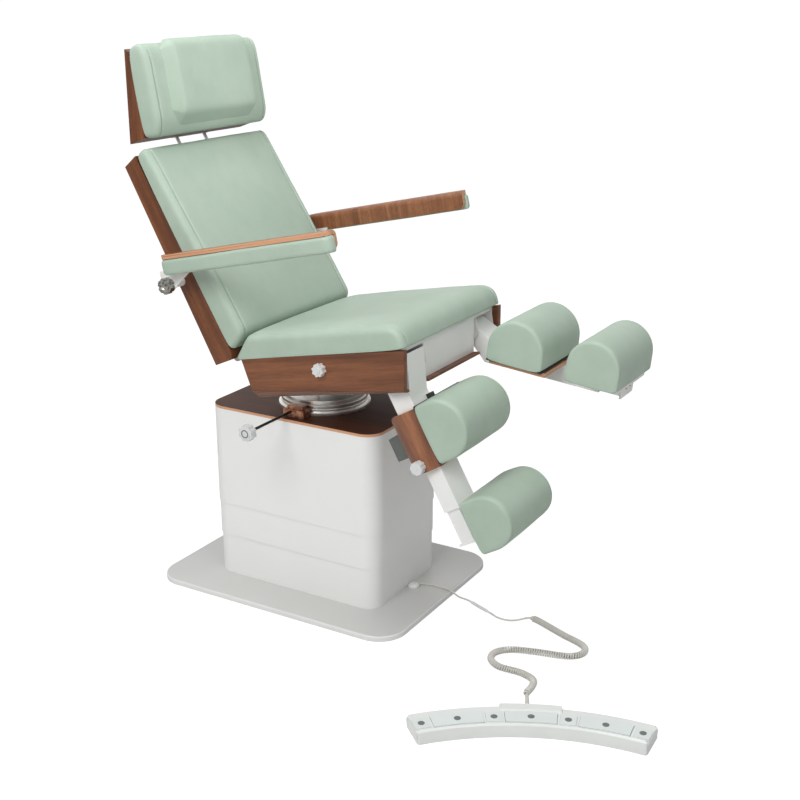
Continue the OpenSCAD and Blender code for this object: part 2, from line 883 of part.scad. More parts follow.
module tilt_drive() {
  face = cheek_in + cheek_t;
  color([0.2, 0.2, 0.21]) translate([0, 0, tilt_axis_z]) {
    shaft(tilt_pin_r, -face - pin_end, face + pin_end);
    shaft(gear_head_r, face, face + gear_head_l);
    shaft(tilt_motor_r, face + gear_head_l, face + gear_head_l + tilt_motor_l);
  }
}

// Seat

module seat_frame() {
  inner = seat_w / 2 - panel_t;
  lug_out = cheek_in - face_gap;
  rail_top = -seat_board_t;
  color([0.88, 0.88, 0.87]) in_seat() {
    span([-seat_l + seat_board_back, -inner, -seat_board_t],
      [-seat_board_front, inner, 0]);
    both_sides() span([-panel_l + rail_rear, rail_y, rail_top - rail_h],
      [-rail_front, rail_y + rail_w, rail_top]);
    span([-panel_l + rear_board_t + rail_rear - rail_w, -inner, rail_top - rail_h],
      [-panel_l + rear_board_t + rail_rear, inner, rail_top]);
    span([-cross_front, -inner, rail_top - rail_h],
      [-cross_front + rail_w, inner, rail_top]);
    both_sides() difference() {
      union() {
        slice(lug_out - lug_t, lug_out) polygon([
          [-tilt_back - cheek_r, -tilt_drop], [-tilt_back + cheek_r, -tilt_drop],
          [-tilt_back + cheek_foot, rail_top], [-tilt_back - cheek_foot, rail_top]]);
        translate([-tilt_back, 0, -tilt_drop]) shaft(cheek_r, lug_out - lug_t, lug_out);
      }
      translate([-tilt_back, 0, -tilt_drop])
        shaft(tilt_pin_r + shaft_fit, lug_out - lug_t - cut_over, lug_out + cut_over);
    }
    both_sides() translate([-hinge_back, 0, -hinge_drop]) difference() {
      union() {
        span([0, arm_y, -hinge_arm_top - hinge_arm_h],
          [hinge_arm_l, arm_y + arm_t, -hinge_arm_top]);
        shaft(hinge_hub_r, arm_y, arm_y + arm_t);
      }
      shaft(pin_r + shaft_fit, arm_y - cut_over, arm_y + arm_t + cut_over);
    }
  }
}

module seat_side_panels() {
  color([0.5, 0.33, 0.24]) in_seat() difference() {
    both_sides() slice(seat_w / 2 - panel_t, seat_w / 2) polygon([
      [-panel_l, 0], [0, 0], [-panel_rake, -panel_h],
      [-panel_l + panel_rear_rake, -panel_rear_h]]);
    translate([-side_knob_back, 0, -side_knob_drop])
      shaft(side_knob_rod_r + shaft_fit, -seat_w / 2 - cut_over,
        -seat_w / 2 + panel_t + cut_over);
  }
}

// Bevelled board under the seat, and the board that closes the seat behind
module seat_under_panel() {
  h = seat_w / 2;
  b = h - under_inset;
  rear = -panel_l + panel_rear_rake;
  slope = (panel_h - panel_rear_h) / (panel_l - panel_rear_rake - panel_rake);
  inner = h - panel_t;
  slot_in = leg_y - leg_w / 2 - slot_gap;
  slot_out = leg_y + leg_w / 2 + slot_gap;
  cheek_out = cheek_in + cheek_t + cheek_slot_gap;
  color([0.52, 0.35, 0.25]) in_seat() {
    difference() {
      polyhedron([
        [rear, -h, -panel_rear_h], [-panel_rake, -h, -panel_h],
        [-panel_rake, h, -panel_h], [rear, h, -panel_rear_h],
        [rear + under_rear_rake, -b, -under_depth],
        [-panel_rake, -b, -under_depth],
        [-panel_rake, b, -under_depth],
        [rear + under_rear_rake, b, -under_depth]],
        [[3, 2, 1, 0], [4, 5, 6, 7], [0, 1, 5], [0, 5, 4], [1, 2, 6, 5], [2, 3, 6],
         [3, 7, 6], [3, 0, 4, 7]]);
      both_sides() span(
        [-leg_back - slot_l, slot_in, -under_depth - cut_over],
        [cut_over, slot_out, -panel_rear_h + cut_over]);
      span([-tilt_back - cheek_slot_l, -cheek_out, -under_depth - cut_over],
        [-tilt_back + cheek_slot_l, cheek_out, -panel_rear_h + cut_over]);
    }
    difference() {
      slice(-inner, inner) polygon([
        [-panel_l, 0], [-panel_l + panel_rear_rake, -panel_rear_h],
        [-panel_l + panel_rear_rake + rear_board_t,
          -panel_rear_h - slope * rear_board_t],
        [-panel_l + rear_board_t, 0]]);
      both_sides() span(
        [-panel_l - cut_over, arm_y - arm_slot_gap, -arm_slot_h],
        [-panel_l + panel_rear_rake + rear_board_t, arm_y + arm_t + arm_slot_gap,
          cut_over]);
    }
  }
}

// Front sheet, with a slot for the root of each leg
module seat_front_panel() {
  inner = seat_w / 2 - panel_t;
  slot_in = leg_y - leg_w / 2 - slot_gap;
  slot_out = leg_y + leg_w / 2 + slot_gap;
  slope = (panel_h - panel_rear_h) / (panel_l - panel_rear_rake - panel_rake);
  foot = -panel_h + slope * (front_recess + front_t);
  rake = panel_rake * foot / panel_h;
  color([0.85, 0.85, 0.85]) in_seat() difference() {
    slice(-inner, inner) polygon([
      [-front_recess - front_t, 0], [-front_recess, 0],
      [-front_recess + rake, foot], [-front_recess - front_t + rake, foot]]);
    both_sides() span(
      [-front_recess - front_t - panel_rake - cut_over, slot_in, -panel_h - cut_over],
      [cut_over, slot_out, -slot_top]);
  }
}

module seat_cushion() {
  color([0.69, 0.77, 0.71]) in_seat() skin([for (row = seat_ring_shares)
    [for (p = pad_ring(row, seat_l, seat_w, seat_pad_t, pad_corner))
      [p[0] - seat_l, p[1], row[0] * seat_pad_t + row[1] * seat_crown]]]);
}

module side_knob() {
  r = side_knob_d / 2;
  out = seat_w / 2 + face_gap;
  color([0.88, 0.88, 0.88]) in_seat()
    translate([-side_knob_back, 0, -side_knob_drop]) mirror([0, 1, 0]) {
      shaft(side_knob_rod_r, seat_w / 2 - panel_t, out);
      knob(r, out, side_knob_l, knob_lobes, flute_r, flute_out);
      shaft(side_cap_r, out, out + side_knob_l + side_cap_l);
    }
}

// Plates that hold the hinge pin of each leg, under the front of the seat
module leg_brackets() {
  inner = leg_y - leg_w / 2 - bracket_gap;
  outer = leg_y + leg_w / 2 + bracket_gap;
  top = leg_drop - seat_board_t;
  notch = leg_drop - slot_top - face_gap;
  rear = cross_front - rail_w - face_gap - leg_back;
  color([0.86, 0.86, 0.86]) in_seat() translate([-leg_back, 0, -leg_drop])
    both_sides() {
      for (y = [inner - bracket_t, outer]) {
        slice(y, y + bracket_t) polygon([
          [-rear, top], [bracket_nose, top], [bracket_nose, notch], [bracket_eye_r, notch],
          [bracket_eye_r, 0], [0, -bracket_eye_r],
          [-bracket_low, -bracket_eye_r], [-rear, top - rail_h]]);
        shaft(bracket_eye_r, y, y + bracket_t);
      }
      shaft(pin_r, inner - bracket_t, outer + bracket_t);
    }
}

// Backrest

module backrest_tray() {
  h = seat_w / 2;
  i = h - tray_wall;
  lip = tray_front - tray_lip;
  top_back = tray_h - tray_top_drop;
  color([0.47, 0.3, 0.22]) in_back() difference() {
    slice(-h, h) polygon([[lip, -tray_lip_drop], [tray_front, tray_foot],
      [tray_front, tray_h], [-tray_top_back, top_back], [-tray_back, tray_back_foot]]);
    slice(-i, i) polygon([
      [lip - tray_front_t, -tray_lip_drop - cut_over],
      [tray_front - tray_front_t, tray_foot],
      [tray_front - tray_front_t, tray_h - tray_wall],
      [-tray_top_back + tray_wall, top_back - tray_wall],
      [-tray_back + tray_wall, tray_back_foot],
      [-tray_back + tray_wall, -tray_lip_drop - cut_over]]);
    both_sides() translate([post_n, post_y, tray_h - tray_wall - tray_top_drop])
      cylinder(r = post_r + shaft_fit, h = tray_wall + tray_top_drop + cut_over);
    translate([-arm_pivot_n, 0, arm_pivot_s])
      shaft(arm_stub_r + shaft_fit, -h - cut_over, h + cut_over);
  }
}

module back_frame() {
  front = tray_front - tray_front_t;
  out = upright_y + upright_w;
  color([0.9, 0.9, 0.89]) in_back() {
    both_sides() {
      span([-upright_back, upright_y, 0], [upright_hub_r, out, upright_foot]);
      span([-upright_back, upright_y, upright_foot], [front, out, tray_h - upright_top]);
      shaft(upright_hub_r, upright_y, out);
      shaft(pin_r, arm_y - back_pin_gap, out);
    }
    difference() {
      for (s = [cross_low, cross_high])
        span([-cross_back, -upright_y, s], [front, upright_y, s + cross_h]);
      both_sides() translate([post_n, post_y, cross_low - cut_over])
        cylinder(r = post_r + shaft_fit,
          h = cross_high - cross_low + cross_h + 2 * cut_over);
    }
  }
}

module backrest_cushion() {
  l = tray_h - tray_foot;
  color([0.68, 0.76, 0.7]) in_back() skin([for (row = back_ring_shares)
    let (mid = (back_pad_foot_t + back_pad_top_t) / 2,
         low = [for (p = pad_ring(row, l, seat_w, back_pad_foot_t, pad_corner)) p],
         high = [for (p = pad_ring(row, l, seat_w, back_pad_top_t, pad_corner)) p])
    [for (i = [0:len(low) - 1])
      let (x = low[i][0] < l / 2 ? low[i][0] : high[i][0], y = low[i][1],
           t = back_pad_foot_t + (back_pad_top_t - back_pad_foot_t) * x / l)
      turned([x + tray_foot, y, tray_front + row[0] * t + row[1] * back_crown])]]);
}

// Headrest

module headrest_posts() {
  color([0.8, 0.8, 0.82]) in_back() {
    both_sides() translate([post_n, post_y, head_hinge_s - post_l])
      cylinder(r = post_r, h = post_l);
    translate([head_hinge_n, 0, head_hinge_s]) shaft(head_bar_r, -head_bar_y, head_bar_y);
  }
}

module headrest_shell() {
  slot = post_r + head_slot_gap;
  color([0.47, 0.3, 0.22]) in_head() difference() {
    slice(-head_w / 2, head_w / 2) polygon([
      [-head_back, -head_foot_back], [head_foot_front, head_foot_rise],
      [head_top_front, head_h - head_top_drop], [-head_back, head_h]]);
    shaft(head_bar_r + shaft_fit, -head_bar_y - face_gap, head_bar_y + face_gap);
    both_sides() span([-head_back - cut_over, post_y - slot, -head_foot_back - slot],
      [head_slot_front, post_y + slot, slot]);
  }
}

// Cushion, with the raised pillow block on its face
module headrest_cushion() {
  l = (head_h - head_top_drop - head_foot_rise) / cos(head_pad_lean);
  lean = atan2(head_foot_front - head_top_front,
    head_h - head_top_drop - head_foot_rise);
  color([0.7, 0.78, 0.72]) in_head()
    translate([head_foot_front, 0, head_foot_rise]) rotate([0, -lean, 0]) {
      skin([for (row = head_ring_shares)
        [for (p = pad_ring(row, l, head_w, head_pad_t, head_corner))
          turned([p[0], p[1], row[0] * head_pad_t + row[1] * head_crown])]]);
      skin([for (row = pillow_ring_shares)
        [for (p = round_ring(l * row[1], l * (1 - row[2]),
            -head_w * (0.5 - row[3]), head_w * (0.5 - row[3]), head_corner))
          turned([p[0], p[1], row[0] * head_pad_t])]]);
    }
}

// Armrests

module armrest_bracket(side) {
  stub_in = seat_w / 2 - arm_stub_in;
  plate_out = arm_plate_y + arm_plate_t;
  color([0.9, 0.9, 0.9]) in_arm(side) difference() {
    union() {
      shaft(arm_stub_r, stub_in, plate_out);
      slice(arm_plate_y, plate_out) polygon([
        [-arm_start, arm_under + arm_plate_t], [4 * arm_start, arm_under + arm_plate_t],
        [4 * arm_start, arm_under - face_gap], [arm_eye_r * 0.7, -arm_eye_r * 0.7],
        [-arm_eye_r * 0.7, -arm_eye_r * 0.7], [-arm_start, 0]]);
      shaft(arm_eye_r, arm_plate_y, plate_out);
    }
    shaft(arm_screw_r + shaft_fit, plate_out - arm_screw_l - cut_over,
      plate_out + cut_over);
  }
}

// Bent plywood: an upright side and a top that turns outwards
module armrest_shell(side) {
  y0 = arm_plate_y + arm_plate_t;
  y1 = y0 + arm_top_w;
  top = arm_under + arm_h;
  x1 = arm_start + arm_l;
  r = arm_bend_r;
  color([0.6, 0.4, 0.28]) in_arm(side) intersection() {
    translate([arm_start, 0, 0]) rotate([90, 0, 90]) linear_extrude(arm_l)
      difference() {
        union() {
          translate([y0, arm_under]) square([y1 - y0, arm_h - r]);
          translate([y0 + r, arm_under]) square([y1 - y0 - r, arm_h]);
          translate([y0 + r, top - r]) circle(r);
        }
        translate([y0 + ply_t, arm_under - cut_over])
          square([y1 - y0, arm_h - ply_t + cut_over]);
      }
    slice(y0, y1) union() {
      translate([arm_start, arm_under + arm_corner]) square([arm_l, arm_h]);
      translate([arm_start + arm_corner, arm_under])
        square([arm_l - 2 * arm_corner, arm_h]);
      for (x = [arm_start + arm_corner, x1 - arm_corner])
        translate([x, arm_under + arm_corner]) circle(arm_corner);
    }
    translate([0, 0, arm_under]) linear_extrude(arm_h) union() {
      translate([arm_start, y0]) square([arm_l, arm_top_w - arm_corner]);
      translate([arm_start + arm_corner, y0])
        square([arm_l - 2 * arm_corner, arm_top_w]);
      for (x = [arm_start + arm_corner, x1 - arm_corner])
        translate([x, y1 - arm_corner]) circle(arm_corner);
    }
  }
}

// Upholstery under the top of the shell, on its outer side
module armrest_pad(side) {
  y0 = arm_plate_y + arm_plate_t + ply_t;
  y1 = arm_plate_y + arm_plate_t + arm_pad_out;
  low = arm_under - arm_pad_drop;
  high = arm_under + arm_h - ply_t;
  color([0.69, 0.77, 0.71]) in_arm(side) skin([for (row = arm_ring_shares)
    let (d = row[1] * arm_pad_corner)
    [for (p = round_ring(arm_start + d, arm_start + arm_l + arm_pad_over - d,
        -high, -low - d, arm_pad_corner * 0.9))
      laid([p[0], p[1], y0 + row[0] * (y1 - y0)])]]);
}

module armrest_knob(side) {
  y0 = arm_plate_y + arm_plate_t;
  color([0.35, 0.35, 0.36]) in_arm(side) difference() {
    union() {
      shaft(arm_screw_r, y0 - arm_screw_l, y0 + arm_knob_gap + arm_knob_l / 2);
      knob(arm_knob_d / 2, y0 + arm_knob_gap, arm_knob_l, arm_lobes, arm_flute_r,
        arm_flute_out);
    }
    shaft(arm_hollow_r, y0 + arm_knob_gap + arm_knob_l - arm_hollow_l,
      y0 + arm_knob_gap + arm_knob_l + cut_over);
  }
}

// Legs

module leg_tube(side) {
  y0 = leg_y - leg_w / 2;
  y1 = leg_y + leg_w / 2;
  foot = -tube_top - leg_h;
  under = foot - root_under;
  nose = -tube_top + root_cover;
  drop = root_plate_t;
  w = tube_wall;
  color([0.91, 0.91, 0.9]) in_leg(side) {
    difference() {
      span([tube_start, y0, foot], [tube_end, y1, -tube_top]);
      span([tube_plug, y0 + w, foot + w], [tube_end + cut_over, y1 - w, -tube_top - w]);
      translate([calf_at(side) + leg_knob_at, 0, foot + leg_knob_up])
        shaft(leg_screw_r + shaft_fit, y1 - w - cut_over, y1 + cut_over);
    }
    difference() {
      for (y = [y0, y1 - root_t]) slice(y, y + root_t) polygon([
        [-root_back, root_rise], [root_nose, nose], [root_l, nose], [root_l, under],
        [root_heel, under], [-root_tail, -root_tail]]);
      shaft(pin_r + shaft_fit, y0 - cut_over, y1 + cut_over);
    }
    slice(y0, y1) polygon([[-root_back, root_rise], [root_nose, nose], [root_l, nose],
      [root_l, nose - drop], [root_nose - drop, nose - drop],
      [-root_back, root_rise - drop]]);
    slice(y0, y1) polygon([[root_heel, under], [root_l, under],
      [root_l, foot], [root_heel, foot]]);
    span([root_l - stop_in - stop_l, y0, nose],
      [root_l - stop_in, y0 + stop_w, nose + stop_h]);
    if (side < 0) span([calf_at(side) + block_at, y1 - block_in - block_w, foot - block_h],
      [calf_at(side) + block_at + block_l, y1 - block_in, foot]);
  }
}

// Bent plywood under the calf pad, curved down round the outer side of the tube
module leg_saddle(side) {
  x0 = calf_at(side) + saddle_start;
  x1 = x0 + saddle_l;
  cy = saddle_centre_y;
  ce = -saddle_centre_e;
  top = -tube_top + ply_t;
  far = 2 * saddle_r;
  rim = ce + saddle_r * sin(saddle_foot_a);
  foot = -tube_top - leg_h;
  color([0.5, 0.32, 0.23]) in_leg(side) difference() {
    translate([x0, 0, 0]) rotate([90, 0, 90]) linear_extrude(saddle_l) {
      translate([saddle_in, -tube_top])
        square([cy + saddle_r * cos(saddle_top_a) - saddle_in, ply_t]);
      difference() {
        translate([cy, ce]) circle(saddle_r);
        translate([cy, ce]) circle(saddle_r - ply_t + saddle_slack);
        translate([cy, top]) square([far, far]);
        translate([cy - far, ce - far]) square([far, 2 * far]);
        translate([cy, ce]) polygon([[0, 0],
          [far * cos(saddle_foot_a), far * sin(saddle_foot_a)], [far, -2 * far],
          [0, -2 * far]]);
      }
    }
    // The two lower corners are round
    for (end = [0, 1])
      translate([end == 0 ? x0 : x1, 0, rim]) mirror([end, 0, 0]) slice(cy, cy + far)
        difference() {
          translate([-cut_over, -cut_over])
            square([saddle_corner + cut_over, saddle_corner + cut_over]);
          translate([saddle_corner, saddle_corner]) circle(saddle_corner);
        }
    translate([calf_at(side) + leg_knob_at, 0, foot + leg_knob_up])
      shaft(leg_screw_r + leg_screw_gap, cy, cy + far);
  }
}

module calf_cushion(side) {
  color([0.68, 0.76, 0.7]) in_leg(side)
    translate([calf_at(side), 0, -tube_top + ply_t]) mirror([0, 1, 0])
      bolster_left(calf_l, calf_h);
}

// Round pad on the left, with its flat base on X and Y
module bolster_left(l, h) {
  bolster(l, h, pad_in, pad_in + leg_pad_w);
}

module leg_knob(side) {
  y1 = leg_y + leg_w / 2;
  out = saddle_centre_y + saddle_r;
  at = calf_at(side) + leg_knob_at;
  color([0.93, 0.93, 0.92]) in_leg(side)
    translate([at, 0, -tube_top - leg_h + leg_knob_up]) {
      shaft(leg_screw_r, y1 - tube_wall + face_gap, out + leg_knob_l / 2);
      knob(leg_knob_r, out + leg_knob_gap - face_gap, leg_knob_l, knob_lobes,
        leg_flute_r, leg_flute_out);
      shaft(leg_cap_r, out + leg_knob_l / 2, out + leg_knob_l + leg_knob_gap + leg_cap_l);
    }
}

module leg_slider(side) {
  g = tube_wall + slide_gap;
  y0 = leg_y - leg_w / 2;
  y1 = leg_y + leg_w / 2;
  foot = -tube_top - leg_h;
  top = -tube_top + ply_t;
  at = heel_at(side) + end_plate_at;
  w = slider_wall;
  color([0.9, 0.9, 0.89]) in_leg(side) {
    difference() {
      span([at - slider_l, y0 + g, foot + g], [at, y1 - g, -tube_top - g]);
      span([at - slider_l - cut_over, y0 + g + w, foot + g + w],
        [at - w, y1 - g - w, -tube_top - g - w]);
    }
    span([at, y0, foot - root_under], [at + end_plate_t, y1, top]);
    span([heel_at(side) + heel_board_start, heel_board_in, top - heel_board_t],
      [heel_at(side) + heel_l - heel_board_end, y1, top]);
    for (s = [-1, 1])
      translate([at + end_plate_t, leg_y + s * screw_apart, -tube_top - screw_down])
        rotate([0, 90, 0]) cylinder(r = screw_r, h = screw_l);
  }
}

module heel_cushion(side) {
  color([0.68, 0.76, 0.7]) in_leg(side)
    translate([heel_at(side), 0, -tube_top + ply_t]) mirror([0, 1, 0])
      bolster_left(heel_l, heel_h);
}

// Foot control

module in_control() {
  translate([control_x, control_y, 0]) children();
}

// Part of a ring about the control's centre, half_a to each side of the angle a
module arc_piece(a, half_a, points) {
  rotate([0, 0, a - half_a]) rotate_extrude(angle = 2 * half_a) polygon(points);
}

function box_points(r0, r1, z0, z1) = [[r0, z0], [r1, z0], [r1, z1], [r0, z1]];
rocker_gap_a = rocker_gap / control_r * 180 / PI;
rocker_r0 = control_r + rocker_in;
rocker_r1 = rocker_r0 + rocker_w;
button_at_r = control_r + button_at;
button_gap_a = button_gap / control_r * 180 / PI;
button_r0 = control_r + button_in;
button_r1 = button_r0 + button_w;
rocker_angles = [control_mid + 2 * control_pitch, control_mid,
  control_mid - 2 * control_pitch];
button_angles = [control_mid + 3 * control_pitch, control_mid + control_pitch,
  control_mid - control_pitch, control_mid - 3 * control_pitch];

module foot_housing() {
  r0 = control_r;
  r1 = control_r + control_w;
  e = control_edge;
  color([0.93, 0.93, 0.92]) in_control() difference() {
    union() {
      arc_piece(control_from + control_span / 2, control_span / 2, [
        [r0, 0], [r1, 0], [r1, control_foot], [r1 - e / 2, control_h - e / 2],
        [r1 - e, control_h], [r0 + e, control_h], [r0 + e / 2, control_h - e / 2],
        [r0, control_foot]]);
      arc_piece(control_mid, hump_half_a, [
        [r0 + hump_in, 0], [r1 + hump_out, 0], [r1 + hump_out, control_foot],
        [r1, control_h + hump_h], [r0 + hump_in + e / 2, control_h + hump_h],
        [r0 + hump_in, control_h]]);
    }
    for (a = rocker_angles) arc_piece(a, rocker_a + rocker_gap_a,
      box_points(rocker_r0 - rocker_gap, rocker_r1 + rocker_gap, rocker_floor,
        control_h + hump_h + cut_over));
    for (a = button_angles) arc_piece(a, button_a + button_gap_a,
      box_points(button_r0 - button_gap, button_r1 + button_gap, button_floor,
        control_h + cut_over));
    rotate([0, 0, control_mid + relief_a]) translate([r1 + hump_out - relief_in, 0, relief_z])
      rotate([0, 90, 0]) cylinder(r = relief_r, h = relief_l);
  }
}

module foot_rocker(k) {
  a = rocker_angles[k];
  color([0.95, 0.95, 0.94]) in_control() {
    arc_piece(a, rocker_a,
      box_points(rocker_r0, rocker_r1, rocker_low, control_h + rocker_rise));
    rotate([0, 0, a]) translate([(rocker_r0 + rocker_r1) / 2, 0, control_h + rocker_rise - dot_h])
      cylinder(r = dot_r, h = 2 * dot_h);
    // Rib along the pivot, on the floor of the pocket
    rotate([0, 0, a]) translate([rocker_r0, 0, rocker_low])
      rotate([0, 90, 0]) cylinder(r = rocker_low - rocker_floor - face_gap, h = rocker_w);
  }
}

module foot_button(k) {
  color([0.95, 0.95, 0.94]) in_control() {
    arc_piece(button_angles[k], button_a,
      box_points(button_r0, button_r1, button_low, control_h + button_rise));
    rotate([0, 0, button_angles[k]])
      translate([button_at_r, 0, control_h + button_rise - dot_h])
        cylinder(r = dot_r, h = 2 * dot_h);
  }
}

module cord_relief() {
  step = relief_l / (2 * relief_ribs + 1);
  out = control_r + control_w + hump_out - relief_in;
  color([0.7, 0.7, 0.68]) in_control()
    rotate([0, 0, control_mid + relief_a]) translate([out, 0, relief_z])
      rotate([0, 90, 0]) rotate_extrude() polygon(concat([[0, 0], [relief_r, 0]],
        [for (i = [1:relief_ribs]) each
          [[relief_rib_r(i), step * (2 * i - 1)],
           [relief_rib_r(i) - relief_rib_r(relief_ribs) / relief_rib_w,
             step * (2 * i - 1)],
           [relief_rib_r(i) - relief_rib_r(relief_ribs) / relief_rib_w, step * 2 * i],
           [relief_rib_r(i), step * 2 * i]]],
        [[relief_end_r, relief_l], [0, relief_l]]));
}
function relief_rib_r(i) =
  relief_r + (relief_end_r - relief_r) * i / (relief_ribs + 1);

module foot_lead() {
  color([0.85, 0.85, 0.82]) {
    lead(lead_one);
    lead(lead_two);
  }
}

module inline_connector() {
  v = connector_b - connector_a;
  l = norm(v);
  color([0.93, 0.93, 0.92]) translate(connector_a)
    rotate([0, 90, atan2(v[1], v[0])]) rotate_extrude() polygon([
      [0, 0], [connector_end_r, 0], [connector_end_r, connector_end_l],
      [connector_r, connector_end_l + connector_end_r],
      [connector_r, l - connector_end_l - connector_end_r],
      [connector_end_r, l - connector_end_l], [connector_end_r, l], [0, l]]);
}

module curly_cord() {
  color([0.76, 0.76, 0.72]) tube(curl_centres, curl_across, strand_r, curl_sides);
}

base_plate();
base_glands();
lower_cover();
middle_cover();
upper_cover();
column_top_board();
lift_outer_tube();
lift_middle_tube();
lift_inner_tube();
lift_drive();
foot_lead();
inline_connector();
curly_cord();
cord_relief();
foot_housing();
foot_rocker(0);  // foot_rocker_1
foot_rocker(1);  // foot_rocker_2
foot_rocker(2);  // foot_rocker_3
foot_button(0);  // foot_button_1
foot_button(1);  // foot_button_2
foot_button(2);  // foot_button_3
foot_button(3);  // foot_button_4
swivel_ring();
brake_block();
brake_knob();
turntable();
tilt_drive();
seat_frame();
seat_side_panels();
seat_under_panel();
seat_front_panel();
seat_cushion();
side_knob();
leg_brackets();
backrest_tray();
back_frame();
backrest_cushion();
headrest_posts();
headrest_shell();
headrest_cushion();
armrest_bracket(-1);  // armrest_bracket_right
armrest_shell(-1);  // armrest_shell_right
armrest_pad(-1);  // armrest_pad_right
armrest_knob(-1);  // armrest_knob_right
armrest_bracket(1);  // armrest_bracket_left
armrest_shell(1);  // armrest_shell_left
armrest_pad(1);  // armrest_pad_left
armrest_knob(1);  // armrest_knob_left
leg_tube(-1);  // leg_tube_right
leg_saddle(-1);  // leg_saddle_right
calf_cushion(-1);  // calf_cushion_right
leg_knob(-1);  // leg_knob_right
leg_slider(-1);  // leg_slider_right
heel_cushion(-1);  // heel_cushion_right
leg_tube(1);  // leg_tube_left
leg_saddle(1);  // leg_saddle_left
calf_cushion(1);  // calf_cushion_left
leg_knob(1);  // leg_knob_left
leg_slider(1);  // leg_slider_left
heel_cushion(1);  // heel_cushion_left
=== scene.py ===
from math import cos, pi, radians, sin

import bmesh
import bpy
from mathutils import Matrix, Vector, noise


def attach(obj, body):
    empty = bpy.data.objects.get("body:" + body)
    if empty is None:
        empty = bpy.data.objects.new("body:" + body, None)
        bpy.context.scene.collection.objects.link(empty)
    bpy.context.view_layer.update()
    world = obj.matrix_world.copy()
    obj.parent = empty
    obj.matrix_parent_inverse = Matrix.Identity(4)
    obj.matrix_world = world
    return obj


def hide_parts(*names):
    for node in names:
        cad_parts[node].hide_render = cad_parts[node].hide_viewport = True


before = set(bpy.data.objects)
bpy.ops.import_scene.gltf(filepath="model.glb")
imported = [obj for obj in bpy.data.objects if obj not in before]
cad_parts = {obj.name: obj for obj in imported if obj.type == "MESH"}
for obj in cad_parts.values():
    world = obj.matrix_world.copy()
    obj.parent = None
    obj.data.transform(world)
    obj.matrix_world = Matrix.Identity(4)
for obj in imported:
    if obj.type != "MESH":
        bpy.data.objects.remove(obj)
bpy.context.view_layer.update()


# Camera and studio. The camera stands in front of the chair, to its right and a
# little above the headrest. A wide key lamp hangs over that side, weaker ones fill in
# from the front and the top, and the pale floor runs into a white backdrop.

DOWNWARD, SIDEWAYS = 18.465, 30.3665
camera = bpy.data.objects.new("camera", bpy.data.cameras.new("camera"))
bpy.context.scene.collection.objects.link(camera)
camera.location = (1.9827, -2.9469, 1.7369)
camera.rotation_euler = (radians(90 - DOWNWARD), 0, radians(SIDEWAYS))
camera.data.sensor_width = 36
camera.data.lens = 57.09
bpy.context.scene.camera = camera
bpy.context.scene.view_settings.view_transform = "Standard"


def lamp(name, place, aim, size, power, spread=pi):
    """A round soft lamp that stands at place and points to aim."""
    place, aim = Vector(place), Vector(aim)
    light = bpy.data.lights.new(name, "AREA")
    light.shape = "DISK"
    light.size = size
    light.energy = power
    light.spread = spread
    stand = bpy.data.objects.new(name, light)
    stand.location = place
    stand.rotation_euler = (aim - place).to_track_quat("-Z", "Y").to_euler()
    bpy.context.scene.collection.objects.link(stand)


lamp("key_lamp", (0.2, -3.4, 3.4), (0, 0, 0.8), 2.2, 90)
lamp("fill_lamp", (2.1, -1.0, 2.7), (-0.3, 0, 1.2), 1.8, 19)
lamp("top_lamp", (-0.7, -0.2, 3.6), (-0.1, 0, 0.8), 2.0, 29)
lamp("head_lamp", (1.3, 0.45, 1.95), (-0.42, 0, 1.47), 0.5, 0.62, spread=radians(38))


def linear(red, green, blue):
    """A colour as a screen shows it, from 0 to 255, made linear."""
    return tuple(
        s / 12.92 if s <= 0.04045 else ((s + 0.055) / 1.055) ** 2.4
        for s in (red / 255, green / 255, blue / 255)
    )


class Field:
    """A socket of a finish that takes part in arithmetic."""

    def __init__(self, finish, socket):
        self.finish = finish
        self.socket = socket

    def math(self, operation, first, second):
        return self.finish.node(
            "ShaderNodeMath", {"operation": operation}, {0: first, 1: second}
        )

    def __add__(self, other):
        return self.math("ADD", self, other)

    def __mul__(self, other):
        return self.math("MULTIPLY", self, other)

    __radd__ = __add__
    __rmul__ = __mul__


